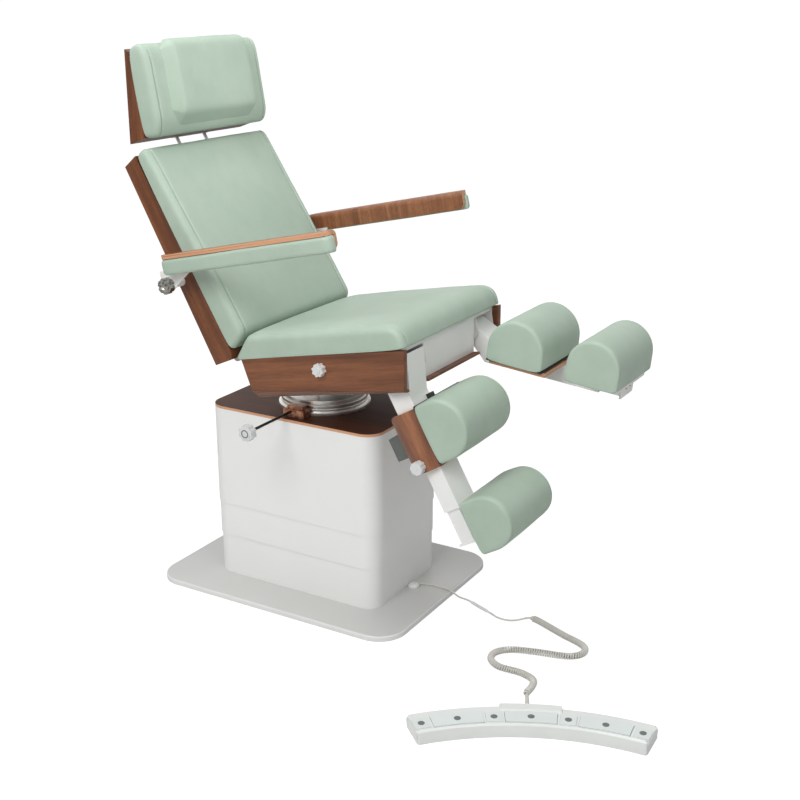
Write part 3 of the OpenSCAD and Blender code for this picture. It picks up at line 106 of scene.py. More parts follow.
class Finish:
    """A material that is written as expressions on its nodes."""

    def __init__(self, name, **fixed):
        self.material = bpy.data.materials.new(name)
        self.material.use_nodes = True
        self.tree = self.material.node_tree
        self.surface = self.tree.nodes["Principled BSDF"]
        for key, value in fixed.items():
            self.surface.inputs[key.replace("_", " ").title()].default_value = value

    def put(self, socket, value):
        if isinstance(value, Field):
            self.tree.links.new(value.socket, socket)
        elif isinstance(value, tuple) and len(value) == 3 and socket.type == "RGBA":
            socket.default_value = (*value, 1)
        else:
            socket.default_value = value

    def node(self, kind, settings=None, values=None, out=0):
        """Any node: first its settings, then values or links for its sockets."""
        made = self.tree.nodes.new(kind)
        for key, value in (settings or {}).items():
            if key == "stops":
                ramp = made.color_ramp.elements
                while len(ramp) < len(value):
                    ramp.new(0.5)
                for stop, (place, colour) in zip(ramp, value):
                    stop.position = place
                    stop.color = (*colour, 1)
            else:
                setattr(made, key, value)
        for key, value in (values or {}).items():
            self.put(made.inputs[key], value)
        return Field(self, made.outputs[out])

    def place(self, size, turn=0.0):
        """Object coordinates in steps of size, turned about the Y axis by degrees."""
        spot = self.node("ShaderNodeTexCoord", out="Object")
        return self.node(
            "ShaderNodeMapping",
            {"vector_type": "TEXTURE"},
            {"Vector": spot, "Rotation": (0, radians(turn), 0), "Scale": size},
        )

    def noise(self, place, detail=3.0, roughness=0.5, distortion=0.0):
        return self.node(
            "ShaderNodeTexNoise",
            None,
            {
                "Vector": place,
                "Scale": 1.0,
                "Detail": detail,
                "Roughness": roughness,
                "Distortion": distortion,
            },
        )

    def cells(self, place):
        return self.node(
            "ShaderNodeTexVoronoi",
            {"feature": "SMOOTH_F1"},
            {"Vector": place, "Scale": 1.0, "Smoothness": 0.4},
        )

    def ramp(self, value, *stops):
        return self.node("ShaderNodeValToRGB", {"stops": stops}, {0: value})

    def blend(self, share, first, second, way="MIX"):
        return self.node(
            "ShaderNodeMix",
            {"data_type": "RGBA", "blend_type": way},
            {0: share, 6: first, 7: second},
            out=2,
        )

    def finished(self, colour, roughness, height=None, depth=0.0001, strength=0.5):
        self.put(self.surface.inputs["Base Color"], colour)
        self.put(self.surface.inputs["Roughness"], roughness)
        if height is not None:
            bump = self.node(
                "ShaderNodeBump",
                None,
                {"Height": height, "Strength": strength, "Distance": depth},
            )
            self.put(self.surface.inputs["Normal"], bump)
        return self.material


def even(size):
    return (size, size, size)


GLOW, GLOW_SHARE = 1.27, 0.75
white = Finish("studio_floor")
swept = white.noise(white.place(even(0.7)))
white.finished(white.blend(swept, linear(226, 226, 226), linear(221, 221, 220)), 0.9)
glow = white.node(
    "ShaderNodeEmission", None, {"Color": (1.0, 1.0, 1.0), "Strength": GLOW}
)
seen = white.node("ShaderNodeLightPath", out="Is Camera Ray")
mixed = white.node(
    "ShaderNodeMixShader",
    None,
    {0: seen * GLOW_SHARE, 1: Field(white, white.surface.outputs[0]), 2: glow},
)
shown = white.tree.nodes["Material Output"].inputs["Surface"]
white.tree.links.new(mixed.socket, shown)

ground = bmesh.new()
bmesh.ops.create_grid(ground, x_segments=1, y_segments=1, size=180)
floor_mesh = bpy.data.meshes.new("floor")
ground.to_mesh(floor_mesh)
ground.free()
floor = bpy.data.objects.new("floor", floor_mesh)
floor.data.materials.append(white.material)
bpy.context.scene.collection.objects.link(floor)

# The sky is white to the camera and in gloss, and dimmer as a light on the chair
SKY_SEEN, SKY_LIGHT = 1.0, 0.34
world = bpy.data.worlds.new("studio")
bpy.context.scene.world = world
world.use_nodes = True
sky = world.node_tree
backdrop = sky.nodes["Background"]
backdrop.inputs["Color"].default_value = (1, 1, 1, 1)
ray = sky.nodes.new("ShaderNodeLightPath")
level = sky.nodes.new("ShaderNodeMath")
level.operation = "MULTIPLY_ADD"
level.inputs[1].default_value = SKY_SEEN - SKY_LIGHT
level.inputs[2].default_value = SKY_LIGHT
direct = sky.nodes.new("ShaderNodeMath")
direct.operation = "MAXIMUM"
sky.links.new(ray.outputs["Is Camera Ray"], direct.inputs[0])
sky.links.new(ray.outputs["Is Glossy Ray"], direct.inputs[1])
sky.links.new(direct.outputs[0], level.inputs[0])
sky.links.new(level.outputs[0], backdrop.inputs["Strength"])


# Cord of the foot control. A thin lead comes out of the dome on the base plate and
# runs to a slim in-line connector. From there the sheathed cable goes on, first
# straight and then in tight curls, to the ribbed relief on the foot control.


def bend(a, b, c, d, s):
    """Point between b and c on the smooth line through four points."""
    return 0.5 * (
        2 * b
        + (c - a) * s
        + (2 * a - 5 * b + 4 * c - d) * s * s
        + (3 * b - a - 3 * c + d) * s * s * s
    )


def smooth_line(points, parts):
    """A smooth line through all points, in parts steps from each to the next."""
    points = [Vector(p) for p in points]
    points = [2 * points[0] - points[1], *points, 2 * points[-1] - points[-2]]
    line = [
        bend(*points[k : k + 4], i / parts)
        for k in range(len(points) - 3)
        for i in range(parts)
    ]
    return [*line, points[-2]]


def line_length(line):
    return sum((b - a).length for a, b in zip(line, line[1:]))


def evenly(line, count):
    """The same line in count equal steps."""
    step = line_length(line) / count
    spots, run, want = [line[0]], 0.0, step
    for a, b in zip(line, line[1:]):
        part = (b - a).length
        while part and want <= run + part and len(spots) < count:
            spots.append(a.lerp(b, (want - run) / part))
            want += step
        run += part
    return [*spots, line[-1]]


def cable(name, line, radius, material):
    curve = bpy.data.curves.new(name, "CURVE")
    curve.dimensions = "3D"
    curve.bevel_depth = radius
    curve.bevel_resolution = 2
    curve.use_fill_caps = True
    strand = curve.splines.new("POLY")
    strand.points.add(len(line) - 1)
    for spot, where in zip(strand.points, line):
        spot.co = (*where, 1)
    piece = bpy.data.objects.new(name, curve)
    piece.data.materials.append(material)
    bpy.context.scene.collection.objects.link(piece)
    return piece


sheath = Finish("cord_sheath", coat_weight=0.05)
speckle = sheath.noise(sheath.place(even(0.0015)))
cloudy = sheath.noise(sheath.place(even(0.05)))
cord_sheath = sheath.finished(
    sheath.blend(cloudy, linear(216, 214, 206), linear(201, 199, 191)),
    0.42 + speckle * 0.15,
    speckle,
    depth=0.00006,
)

CABLE_RADIUS = 0.0026
CONNECTOR = [(0.467, 0.034, 0.0046), (0.562, -0.006, 0.0046)]
LEAD = [
    (0.309, 0.023, 0.021),
    (0.318, 0.034, 0.019),
    (0.338, 0.041, 0.019),
    (0.361, 0.043, 0.019),
    (0.385, 0.041, 0.019),
    (0.402, 0.039, 0.019),
    (0.413, 0.039, 0.015),
    (0.424, 0.039, 0.009),
    (0.436, 0.038, 0.005),
    (0.450, 0.037, 0.004),
    CONNECTOR[0],
]
lead_line = evenly(smooth_line(LEAD, 8), 60)
STRAIGHT = [
    CONNECTOR[1],
    (0.584, -0.014, 0.003),
    (0.606, -0.017, 0.003),
    (0.628, -0.012, 0.003),
    (0.646, 0.0, 0.0045),
    (0.660, 0.012, 0.0074),
    (0.674, 0.018, 0.0101),
]
CURL_ROUTE = [
    (0.674, 0.018, 0.0101),
    (0.700, 0.014, 0.0101),
    (0.789, -0.024, 0.0101),
    (0.864, -0.054, 0.0101),
    (0.880, -0.092, 0.0101),
    (0.850, -0.127, 0.0101),
    (0.760, -0.151, 0.0101),
    (0.702, -0.173, 0.0101),
    (0.674, -0.207, 0.0101),
    (0.680, -0.244, 0.0101),
    (0.716, -0.268, 0.0101),
    (0.780, -0.268, 0.0101),
    (0.822, -0.285, 0.0103),
    (0.833, -0.318, 0.0108),
]
CONTROL_CENTRE = Vector((1.225, -1.144, 0))
RELIEF_ANGLE = radians(116.2)
RELIEF_WAY = Vector((cos(RELIEF_ANGLE), sin(RELIEF_ANGLE), 0))
RELIEF_REACH, RELIEF_HEIGHT, RELIEF_RUN_IN, RELIEF_DEPTH = 0.874, 0.012, 0.011, 0.076
relief_end = CONTROL_CENTRE + RELIEF_REACH * RELIEF_WAY + Vector((0, 0, RELIEF_HEIGHT))
run_in = relief_end + RELIEF_RUN_IN * RELIEF_WAY
# The strand winds round a middle line, and the first and last curls are smaller
CURLS = 118
CURL_STEPS = 14
CURL_RADIUS = 0.0069
CURL_RAMP = 1.5
LOOK_AHEAD = 3
middle = smooth_line([*CURL_ROUTE, run_in, relief_end], 24)
count = CURLS * CURL_STEPS
middle = evenly(middle, count)
curls = []
for i in range(count + 1):
    ahead, behind = min(i + LOOK_AHEAD, count), max(i - LOOK_AHEAD, 0)
    along = (middle[ahead] - middle[behind]).normalized()
    side = Vector((-along.y, along.x, 0)).normalized()
    upward = along.cross(side)
    turn = 2 * pi * i / CURL_STEPS
    swell = CURL_RADIUS * min(1, min(i, count - i) / (CURL_RAMP * CURL_STEPS))
    curls.append(middle[i] + swell * (cos(turn) * upward + sin(turn) * side))
inside = [Vector(CONNECTOR[0]).lerp(Vector(CONNECTOR[1]), k / 8) for k in range(1, 8)]
straight = evenly(smooth_line(STRAIGHT, 8), 40)
clamped = relief_end - RELIEF_DEPTH * RELIEF_WAY
root = [curls[-1].lerp(clamped, k / 8) for k in range(1, 9)]
cord_line = lead_line + inside + straight[:-1] + curls + root
control_cable = cable("control_cable", cord_line, CABLE_RADIUS, cord_sheath)
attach(control_cable, "base")
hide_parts("foot_lead", "curly_cord")


# Rigid pieces keep the shape that the CAD gives them. Each is taken over with its
# edges eased, as the real ones are, and gets its own finish. Faces may take a second
# finish, such as the bare edge of plywood, by where they look in the piece's frame.


def turned(angle):
    return Matrix.Rotation(radians(angle), 4, "Y")


def moved(x, y, z):
    return Matrix.Translation((x, y, z))


def added(name, bm, materials, body, nodes):
    mesh = bpy.data.meshes.new(name)
    bm.to_mesh(mesh)
    bm.free()
    piece = bpy.data.objects.new(name, mesh)
    for material in materials:
        piece.data.materials.append(material)
    bpy.context.scene.collection.objects.link(piece)
    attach(piece, body)
    if nodes:
        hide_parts(*nodes)
    return piece


SHARP, FLAT = radians(28), radians(0.2)


def bevelled(bm, edges, width, parts, limited=True):
    bmesh.ops.bevel(
        bm,
        geom=edges,
        offset=width,
        affect="EDGES",
        segments=parts,
        profile=0.5,
        material=-1,
        clamp_overlap=limited,
    )


def outer_edges(bm):
    """The sharp edges that stick out. Inner corners stay as the CAD has them."""
    return [
        edge
        for edge in bm.edges
        if len(edge.link_faces) == 2
        and edge.is_convex
        and edge.calc_face_angle() > SHARP
    ]


def eased(
    node,
    materials,
    body,
    width=0.0008,
    parts=2,
    other=None,
    frame_of=None,
    rounder=None,
):
    """A CAD node with eased edges. other picks the finish of a face, by its centre
    and its normal in the frame frame_of. rounder is a larger width, with a test for
    the edges that get it first."""
    bm = bmesh.new()
    bm.from_mesh(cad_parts[node].data)
    bmesh.ops.remove_doubles(bm, verts=bm.verts, dist=2e-6)
    bmesh.ops.dissolve_limit(bm, angle_limit=FLAT, verts=bm.verts, edges=bm.edges)
    for face in bm.faces:
        face.material_index = 0
    if other:
        back_to = (frame_of or Matrix()).inverted()
        for face in bm.faces:
            spot = back_to @ face.calc_center_median()
            look = (back_to.to_3x3() @ face.normal).normalized()
            face.material_index = other(spot, look)
    bmesh.ops.triangulate(bm, faces=[face for face in bm.faces if len(face.verts) > 4])
    if rounder:
        wide, chosen = rounder
        bevelled(bm, [edge for edge in outer_edges(bm) if chosen(edge)], wide, 5, False)
    if width:
        bevelled(bm, outer_edges(bm), width, parts)
    for face in bm.faces:
        face.smooth = True
    for edge in bm.edges:
        if len(edge.link_faces) == 2:
            edge.smooth = edge.calc_face_angle() < SHARP
    piece = added(node + "_piece", bm, materials, body, [node])
    firm = piece.modifiers.new("even_shading", "WEIGHTED_NORMAL")
    firm.keep_sharp = True


# Base plate: a flat steel plate with round corners and an eased rim, powder coated
# in satin white, and on it two low moulded domes for the leads.


def powder_coat(name, light, dark):
    coat = Finish(name, coat_weight=0.12, coat_roughness=0.25)
    patches = coat.noise(coat.place(even(0.35)), 4)
    peel = coat.noise(coat.place(even(0.0022)), 2)
    dust = coat.noise(coat.place(even(0.02)), 6, 0.7)
    return coat.finished(
        coat.blend(patches, linear(*light), linear(*dark)),
        0.36 + dust * 0.12,
        peel,
        depth=0.00008,
        strength=0.35,
    )


white_coat = powder_coat("white_powder_coat", (243, 243, 241), (236, 236, 234))
# Painted light and shade: the flat of the base plate gets a darker copy of the white
# coat, for the shade the chair casts on it. Its rim gets a lighter copy, for the light
# the rim catches.
plate_shade_coat = powder_coat("plate_powder_coat_painted_shade", (207, 207, 205), (199, 199, 197))
rim_light_coat = powder_coat("rim_powder_coat_painted_light", (230, 230, 228), (223, 223, 221))
frame_coat = powder_coat("grey_powder_coat", (221, 216, 215), (213, 208, 208))

moulding = Finish("moulded_white", coat_weight=0.1)
mottle = moulding.noise(moulding.place(even(0.06)), 3)
pimple = moulding.noise(moulding.place(even(0.0009)), 2)
white_moulding = moulding.finished(
    moulding.blend(mottle, linear(231, 233, 231), linear(222, 225, 222)),
    0.38 + mottle * 0.1,
    pimple,
    depth=0.00006,
    strength=0.4,
)

LEVEL_PLATE = 0.8


def plate_painted_light(spot, look):
    """Painted light and shade: a lighter coat on the rim, a darker one on the flat of
    the plate under the chair.
    """
    return 1 if abs(look.z) < LEVEL_PLATE else 0


eased(
    "base_plate",
    [plate_shade_coat, rim_light_coat],
    "base",
    0.0012,
    other=plate_painted_light,
)
eased("base_glands", [white_moulding], "base", 0.0015, 3)


# Column covers: three folded sheet steel sleeves that slide in each other, white
# like the base, with the lift tubes, the spindle motor and the control box inside.

eased("lower_cover", [white_coat], "base", 0.0003, 1)
eased("middle_cover", [white_coat], "lift_mid", 0.0003, 1)
eased("upper_cover", [white_coat], "lift", 0.0003, 1)

drawn = Finish("drawn_steel", metallic=1.0)
pulled = drawn.noise(drawn.place((0.0015, 0.0015, 0.2)), 3)
drawn_steel = drawn.finished(
    drawn.blend(pulled, linear(196, 198, 200), linear(176, 178, 181)),
    0.32 + pulled * 0.16,
    pulled,
    depth=0.00004,
)
eased("lift_outer_tube", [drawn_steel], "base", 0.0006)
eased("lift_middle_tube", [drawn_steel], "lift_mid", 0.0006)
eased("lift_inner_tube", [drawn_steel], "lift", 0.0006)

dark = Finish("dark_housing")
shagreen = dark.cells(dark.place(even(0.0016)))
faded = dark.noise(dark.place(even(0.08)))
dark_housing = dark.finished(
    dark.blend(faded, linear(48, 48, 50), linear(60, 60, 61)),
    0.5 + shagreen * 0.15,
    shagreen,
)
eased("lift_drive", [dark_housing], "base", 0.003, 3)


# Top board of the column: plywood with a dark stained walnut face. Its edge is bare
# and clear lacquered, so its layers show as a thin orange band.


def plywood_edge(name, size, turn=0.0):
    """Layers of plywood, stacked along the short side of size."""
    edge = Finish(name, coat_weight=0.15, coat_roughness=0.3)
    layers = edge.noise(edge.place(size, turn), 2, 0.6)
    cut = edge.noise(edge.place(even(0.004)), 3)
    colour = edge.ramp(
        layers,
        (0.34, linear(168, 112, 78)),
        (0.46, linear(212, 156, 118)),
        (0.6, linear(226, 174, 138)),
        (0.7, linear(190, 132, 96)),
    )
    return edge.finished(
        edge.blend(cut * 0.3, colour, linear(178, 120, 84)),
        0.42 + cut * 0.15,
        layers,
        depth=0.00015,
    )


def walnut(
    name, size, turn=0.0, light=(138, 85, 51), deep=(86, 45, 22), rough=0.36, coat=0.12
):
    """Veneer with its grain along the long side of size."""
    wood = Finish(name, coat_weight=coat, coat_roughness=0.3)
    x, y, z = size
    bands = (x * 2.2, y * 3.1, z * 3.1)
    pores = (x * 0.14, y * 0.045, z * 0.045)
    streak = wood.noise(wood.place(size, turn), 6, 0.62, 0.35)
    band = wood.noise(wood.place(bands, turn), 2, 0.5, 0.8)
    pore = wood.noise(wood.place(pores, turn), 3, 0.7)
    middle_tone = tuple((a + b) / 2 for a, b in zip(light, deep))
    grain = streak * 0.65 + band * 0.35
    colour = wood.ramp(
        grain,
        (0.34, linear(*deep)),
        (0.5, linear(*middle_tone)),
        (0.64, linear(*light)),
    )
    lines = wood.ramp(pore, (0.36, (1, 1, 1)), (0.5, (0, 0, 0)))
    shade = tuple(c * 0.55 for c in linear(*deep))
    return wood.finished(
        wood.blend(lines * 0.45, colour, shade),
        rough + streak * 0.12,
        pore,
        depth=0.00012,
    )


board_walnut = walnut(
    "stained_walnut",
    (0.32, 0.016, 0.016),
    light=(94, 49, 20),
    deep=(57, 27, 8),
    rough=0.56,
    coat=0.0,
)
board_edge = plywood_edge("board_edge", (0.5, 0.5, 0.0016))
LEVEL_BOARD = 0.7


def board_finish(spot, look):
    """Veneer on the level faces, bare layers all round."""
    return 0 if abs(look.z) > LEVEL_BOARD else 1


eased(
    "column_top_board",
    [board_walnut, board_edge],
    "lift",
    other=board_finish,
)


# Slewing ring and turntable of turned steel, with the brake beside them: a block
# with a copper tone, a thin dark rod and a fluted hand knob with an inlaid ring.

lathe = Finish("turned_steel", metallic=1.0)
from_axis = lathe.node(
    "ShaderNodeVectorMath",
    {"operation": "LENGTH"},
    {
        0: lathe.node(
            "ShaderNodeVectorMath",
            {"operation": "MULTIPLY"},
            {0: lathe.node("ShaderNodeTexCoord", out="Object"), 1: (1.0, 1.0, 0.0)},
        )
    },
    out="Value",
)
rings = lathe.node(
    "ShaderNodeTexNoise",
    {"noise_dimensions": "1D"},
    {"W": from_axis * 900.0, "Scale": 1.0, "Detail": 3.0},
)
smear = lathe.noise(lathe.place(even(0.04)), 3)
turned_steel = lathe.finished(
    lathe.blend(smear, linear(238, 236, 231), linear(222, 219, 213)),
    0.26 + smear * 0.08,
    rings,
    depth=0.000004,
    strength=0.3,
)
eased("swivel_ring", [turned_steel], "lift")
eased("turntable", [turned_steel], "swivel")
eased("tilt_drive", [dark_housing], "swivel", 0.001)

copper = Finish("copper_toned_block", metallic=0.85)
worn = copper.noise(copper.place(even(0.012)), 5, 0.65)
copper_block = copper.finished(
    copper.ramp(
        worn,
        (0.3, linear(120, 72, 52)),
        (0.5, linear(176, 122, 96)),
        (0.68, linear(214, 176, 152)),
    ),
    0.24 + worn * 0.2,
    worn,
    depth=0.00007,
)
eased("brake_block", [copper_block], "lift", 0.001)

grip = Finish("knob_white", coat_weight=0.3, coat_roughness=0.12)
scuff = grip.noise(grip.place(even(0.01)), 5, 0.7)
knob_white = grip.finished(
    grip.blend(scuff, linear(226, 227, 226), linear(206, 208, 208)),
    0.2 + scuff * 0.16,
    scuff,
)
rod = Finish("blackened_rod", metallic=0.9)
oil = rod.noise(rod.place((0.004, 0.05, 0.004)), 4)
black_rod = rod.finished(
    rod.blend(oil, linear(52, 48, 46), linear(74, 70, 66)),
    0.3 + oil * 0.2,
    oil,
    depth=0.00005,
)
ink = Finish("grey_inlay")
tooth = ink.noise(ink.place(even(0.001)), 2)
grey_inlay = ink.finished(
    ink.blend(tooth, linear(96, 99, 101), linear(112, 115, 117)),
    0.5 + tooth * 0.1,
    tooth,
    depth=0.00005,
)

KNOB_FACE = (-0.006, -0.382, 0.565)
ROD_START, ROD_REACH = -0.356, 0.0055
RING_INSIDE, RING_OUTSIDE, RING_HEIGHT = 0.0085, 0.0115, 0.0004


def brake_finish(spot, look):
    """White plastic, and black steel on the rod behind the knob."""
    on_rod = abs(spot.z - KNOB_FACE[2]) < ROD_REACH
    return 1 if spot.y > ROD_START and on_rod else 0


eased(
    "brake_knob",
    [knob_white, black_rod],
    "brake",
    0.0014,
    3,
    other=brake_finish,
)

# The inlay is a flat ring, spun round the middle of the knob's face
ring = bmesh.new()
corners = [
    ring.verts.new((radius, 0, height))
    for radius, height in (
        (RING_INSIDE, 0),
        (RING_OUTSIDE, 0),
        (RING_OUTSIDE, RING_HEIGHT),
        (RING_INSIDE, RING_HEIGHT),
    )
]
sides = [ring.edges.new((corners[i], corners[(i + 1) % 4])) for i in range(4)]
bmesh.ops.spin(
    ring,
    geom=corners + sides,
    cent=(0, 0, 0),
    axis=(0, 0, 1),
    angle=2 * pi,
    steps=40,
    use_merge=True,
)
bmesh.ops.remove_doubles(ring, verts=ring.verts, dist=1e-6)
bmesh.ops.recalc_face_normals(ring, faces=ring.faces)
away = Vector((0, -1, 0)).to_track_quat("Z", "Y").to_matrix().to_4x4()
bmesh.ops.transform(ring, matrix=Matrix.Translation(KNOB_FACE) @ away, verts=ring.verts)
added("brake_knob_ring", ring, [grey_inlay], "brake", [])


# Seat: steel frame and leg brackets in grey powder coat, round them a box of walnut
# veneered panels, and a bent white sheet that closes the box in front.

# SEAT is the frame at the front edge of the cushion's board. Its X runs to the front.
SEAT_TURN = -10.9
SEAT = moved(0, 0, 0.690) @ turned(SEAT_TURN) @ moved(0.451, 0, 0.063)
seat_walnut = walnut("seat_walnut", (0.34, 0.02, 0.02), SEAT_TURN)
eased("seat_frame", [frame_coat], "seat", 0.001)
eased("leg_brackets", [frame_coat], "seat", 0.0006)
eased("seat_side_panels", [seat_walnut], "seat", 0.0015)
eased("seat_under_panel", [seat_walnut], "seat", 0.0012)
eased("seat_front_panel", [white_coat], "seat", 0.0006)
eased("side_knob", [knob_white], "side_knob", 0.0012, 3)


# Upholstery: foam under pale green artificial leather with a fine grain. Every pad
# is a strip wrapped over the foam and sewn to a shaped panel at each end, so its
# seam runs round the pad a little way in from the end.

hide = Finish("green_artificial_leather", coat_weight=0.06, coat_roughness=0.4)
bloom = hide.noise(hide.place(even(0.28)), 4, 0.55)
handled = hide.noise(hide.place(even(0.045)), 5, 0.6)
pebbles = hide.cells(hide.place(even(0.0021)))
creasing = hide.noise(hide.place(even(0.012)), 4, 0.6)
tone = bloom * 0.7 + handled * 0.3
leather_green = hide.finished(
    hide.ramp(
        tone,
        (0.36, linear(165, 184, 167)),
        (0.5, linear(171, 189, 173)),
        (0.64, linear(177, 194, 179)),
    ),
    0.46 + handled * 0.14,
    pebbles * 0.8 + creasing * 0.5,
    depth=0.00022,
    strength=0.45,
)


def with_steps(profile, step):
    """Points added to the long edges of a profile, except on its foot."""
    closed = [Vector(p) for p in profile]
    dense = []
    for a, b in zip(closed, closed[1:]):
        parts = max(1, round((b - a).length / step))
        dense += [a.lerp(b, k / parts) for k in range(parts)]
    return [*dense, closed[-1]]


def drawn_in(profile, inset):
    """The profile made smaller all round, with its foot kept at its height."""
    ring = []
    for i, spot in enumerate(profile):
        before, after = profile[i - 1], profile[(i + 1) % len(profile)]
        way = (after - before).normalized()
        out = Vector((way.y, -way.x))
        if i in (0, len(profile) - 1):
            out = Vector((1 if i == 0 else -1, 0))
        ring.append(spot - inset * out)
    return ring


def lofted(rings):
    """A skin over rings of equal length: the end face is pulled from ring to ring."""
    bm = bmesh.new()
    cap = bm.faces.new([bm.verts.new(p) for p in rings[0]])
    for k, ring in enumerate(rings[1:]):
        grown = bmesh.ops.extrude_face_region(bm, geom=[cap], use_keep_orig=True)
        if k:
            bmesh.ops.delete(bm, geom=[cap], context="FACES_ONLY")
        cap = next(g for g in grown["geom"] if isinstance(g, bmesh.types.BMFace))
        for corner, where in zip(cap.verts, ring):
            corner.co = where
    bmesh.ops.recalc_face_normals(bm, faces=bm.faces)
    return bm


END_ROLL = [
    (0.0, 0.0120),
    (0.0003, 0.0078),
    (0.0016, 0.0040),
    (0.0045, 0.0014),
    (0.0090, 0.0002),
    (0.0112, 0.0001),
    (0.0122, 0.0028),
    (0.0130, 0.0028),
    (0.0142, 0.0001),
    (0.0220, 0.0),
]
CROWN_FOOT, CROWN_POWER, CROWN_ROOT = 0.35, 1.5, 0.6
STILL_FOOT = 0.004
WAVES = ((9, 0.0010), (28, 0.0004))


def wrapped_pad(
    name,
    profile,
    low,
    high,
    place,
    body,
    nodes,
    crown=0.0,
    step=0.04,
    roll=1.0,
    swell=0.0,
    ends=END_ROLL,
):
    """A pad with its profile in X and Z of its own frame, from low to high in Y.
    crown raises its middle, ends and roll shape its seams, and swell its end faces."""
    profile = with_steps(profile, step)
    near = [(low + d * roll, i * roll) for d, i in ends]
    far = [(high - d * roll, i * roll) for d, i in reversed(ends)]
    inner = far[0][0] - near[-1][0]
    parts = max(2, round(inner / step))
    between = [(near[-1][0] + inner * k / parts, 0.0) for k in range(1, parts)]
    stations = near + between + far
    top = max(p.y for p in profile)
    left, right = min(p.x for p in profile), max(p.x for p in profile)
    rings = []
    for y, inset in stations:
        across = 1 - (2 * (y - low) / (high - low) - 1) ** 4
        ring = []
        for spot in drawn_in(profile, inset):
            share = min(1.0, max(0.0, (spot.x - left) / (right - left)))
            height = max(0.0, spot.y / top - CROWN_FOOT) / (1 - CROWN_FOOT)
            bulge = sin(pi * share) ** CROWN_ROOT * height**CROWN_POWER
            lift = crown * across * bulge
            ring.append(Vector((spot.x, y, spot.y + lift)))
        rings.append(ring)
    if swell:
        rings[0] = [p - Vector((0, swell, 0)) for p in rings[0]]
        rings[-1] = [p + Vector((0, swell, 0)) for p in rings[-1]]
    bm = lofted(rings)
    block = bpy.data.objects.new("foam_block", bpy.data.meshes.new("foam_block"))
    bm.to_mesh(block.data)
    bm.free()
    bpy.context.scene.collection.objects.link(block)
    divided = block.modifiers.new("rounding", "SUBSURF")
    divided.levels = divided.render_levels = 2
    graph = bpy.context.evaluated_depsgraph_get()
    smooth = bmesh.new()
    smooth.from_object(block, graph)
    bpy.data.objects.remove(block)
    for vert in smooth.verts:
        if vert.co.z > STILL_FOOT:
            wave = sum(noise.noise(vert.co * often) * high for often, high in WAVES)
            vert.co += vert.normal * wave
    for face in smooth.faces:
        face.smooth = True
    bmesh.ops.transform(smooth, matrix=place, verts=smooth.verts)
    if place.determinant() < 0:
        bmesh.ops.reverse_faces(smooth, faces=smooth.faces)
    piece = added(name, smooth, [leather_green], body, nodes)


wrapped_pad(
    "seat_pad",
    [
        (0.000, 0.0006),
        (0.0005, 0.006),
        (-0.0004, 0.020),
        (-0.0035, 0.036),
        (-0.0105, 0.048),
        (-0.0220, 0.0575),
        (-0.0370, 0.0625),
        (-0.0560, 0.064),
        (-0.4920, 0.064),
        (-0.5010, 0.0590),
        (-0.5120, 0.0480),
        (-0.5290, 0.0290),
        (-0.5490, 0.006),
        (-0.5520, 0.0006),
    ],
    -0.280,
    0.280,
    SEAT,
    "seat",
    ["seat_cushion"],
    crown=0.012,
    roll=1.9,
)


# Backrest: a shallow walnut veneered tray with the steel frame inside it, and a
# thick pad in front. Its panels lean back with the hinge, and their grain with them.

# BACK is the frame on the hinge. Its Z runs up the back, and its X out of it.
BACK_TURN = -30.46
BACK = SEAT @ moved(-0.5858, 0, -0.0036) @ turned(BACK_TURN - SEAT_TURN)
back_walnut = walnut(
    "back_walnut", (0.018, 0.018, 0.30), BACK_TURN, (135, 79, 39), (85, 43, 16)
)
eased("backrest_tray", [back_walnut], "back", 0.0015)
eased("back_frame", [frame_coat], "back", 0.001)

# The pad's own X runs down the back, and its Z out of it
FACE_DOWN = Matrix(((0, 0, 1, 0), (0, 1, 0, 0), (-1, 0, 0, 0), (0, 0, 0, 1)))
wrapped_pad(
    "back_pad",
    [
        (-0.0160, 0.0006),
        (-0.0180, 0.006),
        (-0.0270, 0.030),
        (-0.0350, 0.048),
        (-0.0430, 0.0580),
        (-0.0560, 0.0640),
        (-0.0760, 0.0645),
        (-0.5850, 0.0438),
        (-0.6020, 0.0420),
        (-0.6125, 0.0372),
        (-0.6180, 0.0290),
        (-0.6185, 0.018),
        (-0.6135, 0.005),
        (-0.6120, 0.0006),
    ],
    -0.280,
    0.280,
    BACK @ moved(0.035, 0, 0) @ FACE_DOWN,
    "back",
    ["backrest_cushion"],
    crown=0.008,
    roll=1.9,
)


# Headrest: a walnut veneered wedge on two thin chromed posts, a pad that covers its
# whole front, and a smaller raised pillow sewn on the middle of the pad.

polish = Finish("polished_chrome", metallic=1.0)
haze = polish.noise(polish.place(even(0.006)), 4)
chrome = polish.finished(
    polish.blend(haze, linear(240, 238, 236), linear(226, 224, 222)),
    0.3 + haze * 0.1,
    haze,
    depth=0.00003,
)
head_walnut = walnut(
    "head_walnut", (0.018, 0.018, 0.26), light=(135, 78, 37), deep=(85, 42, 15)
)
eased("headrest_posts", [chrome], "head_posts", 0.0)
eased("headrest_shell", [head_walnut], "head", 0.0015)

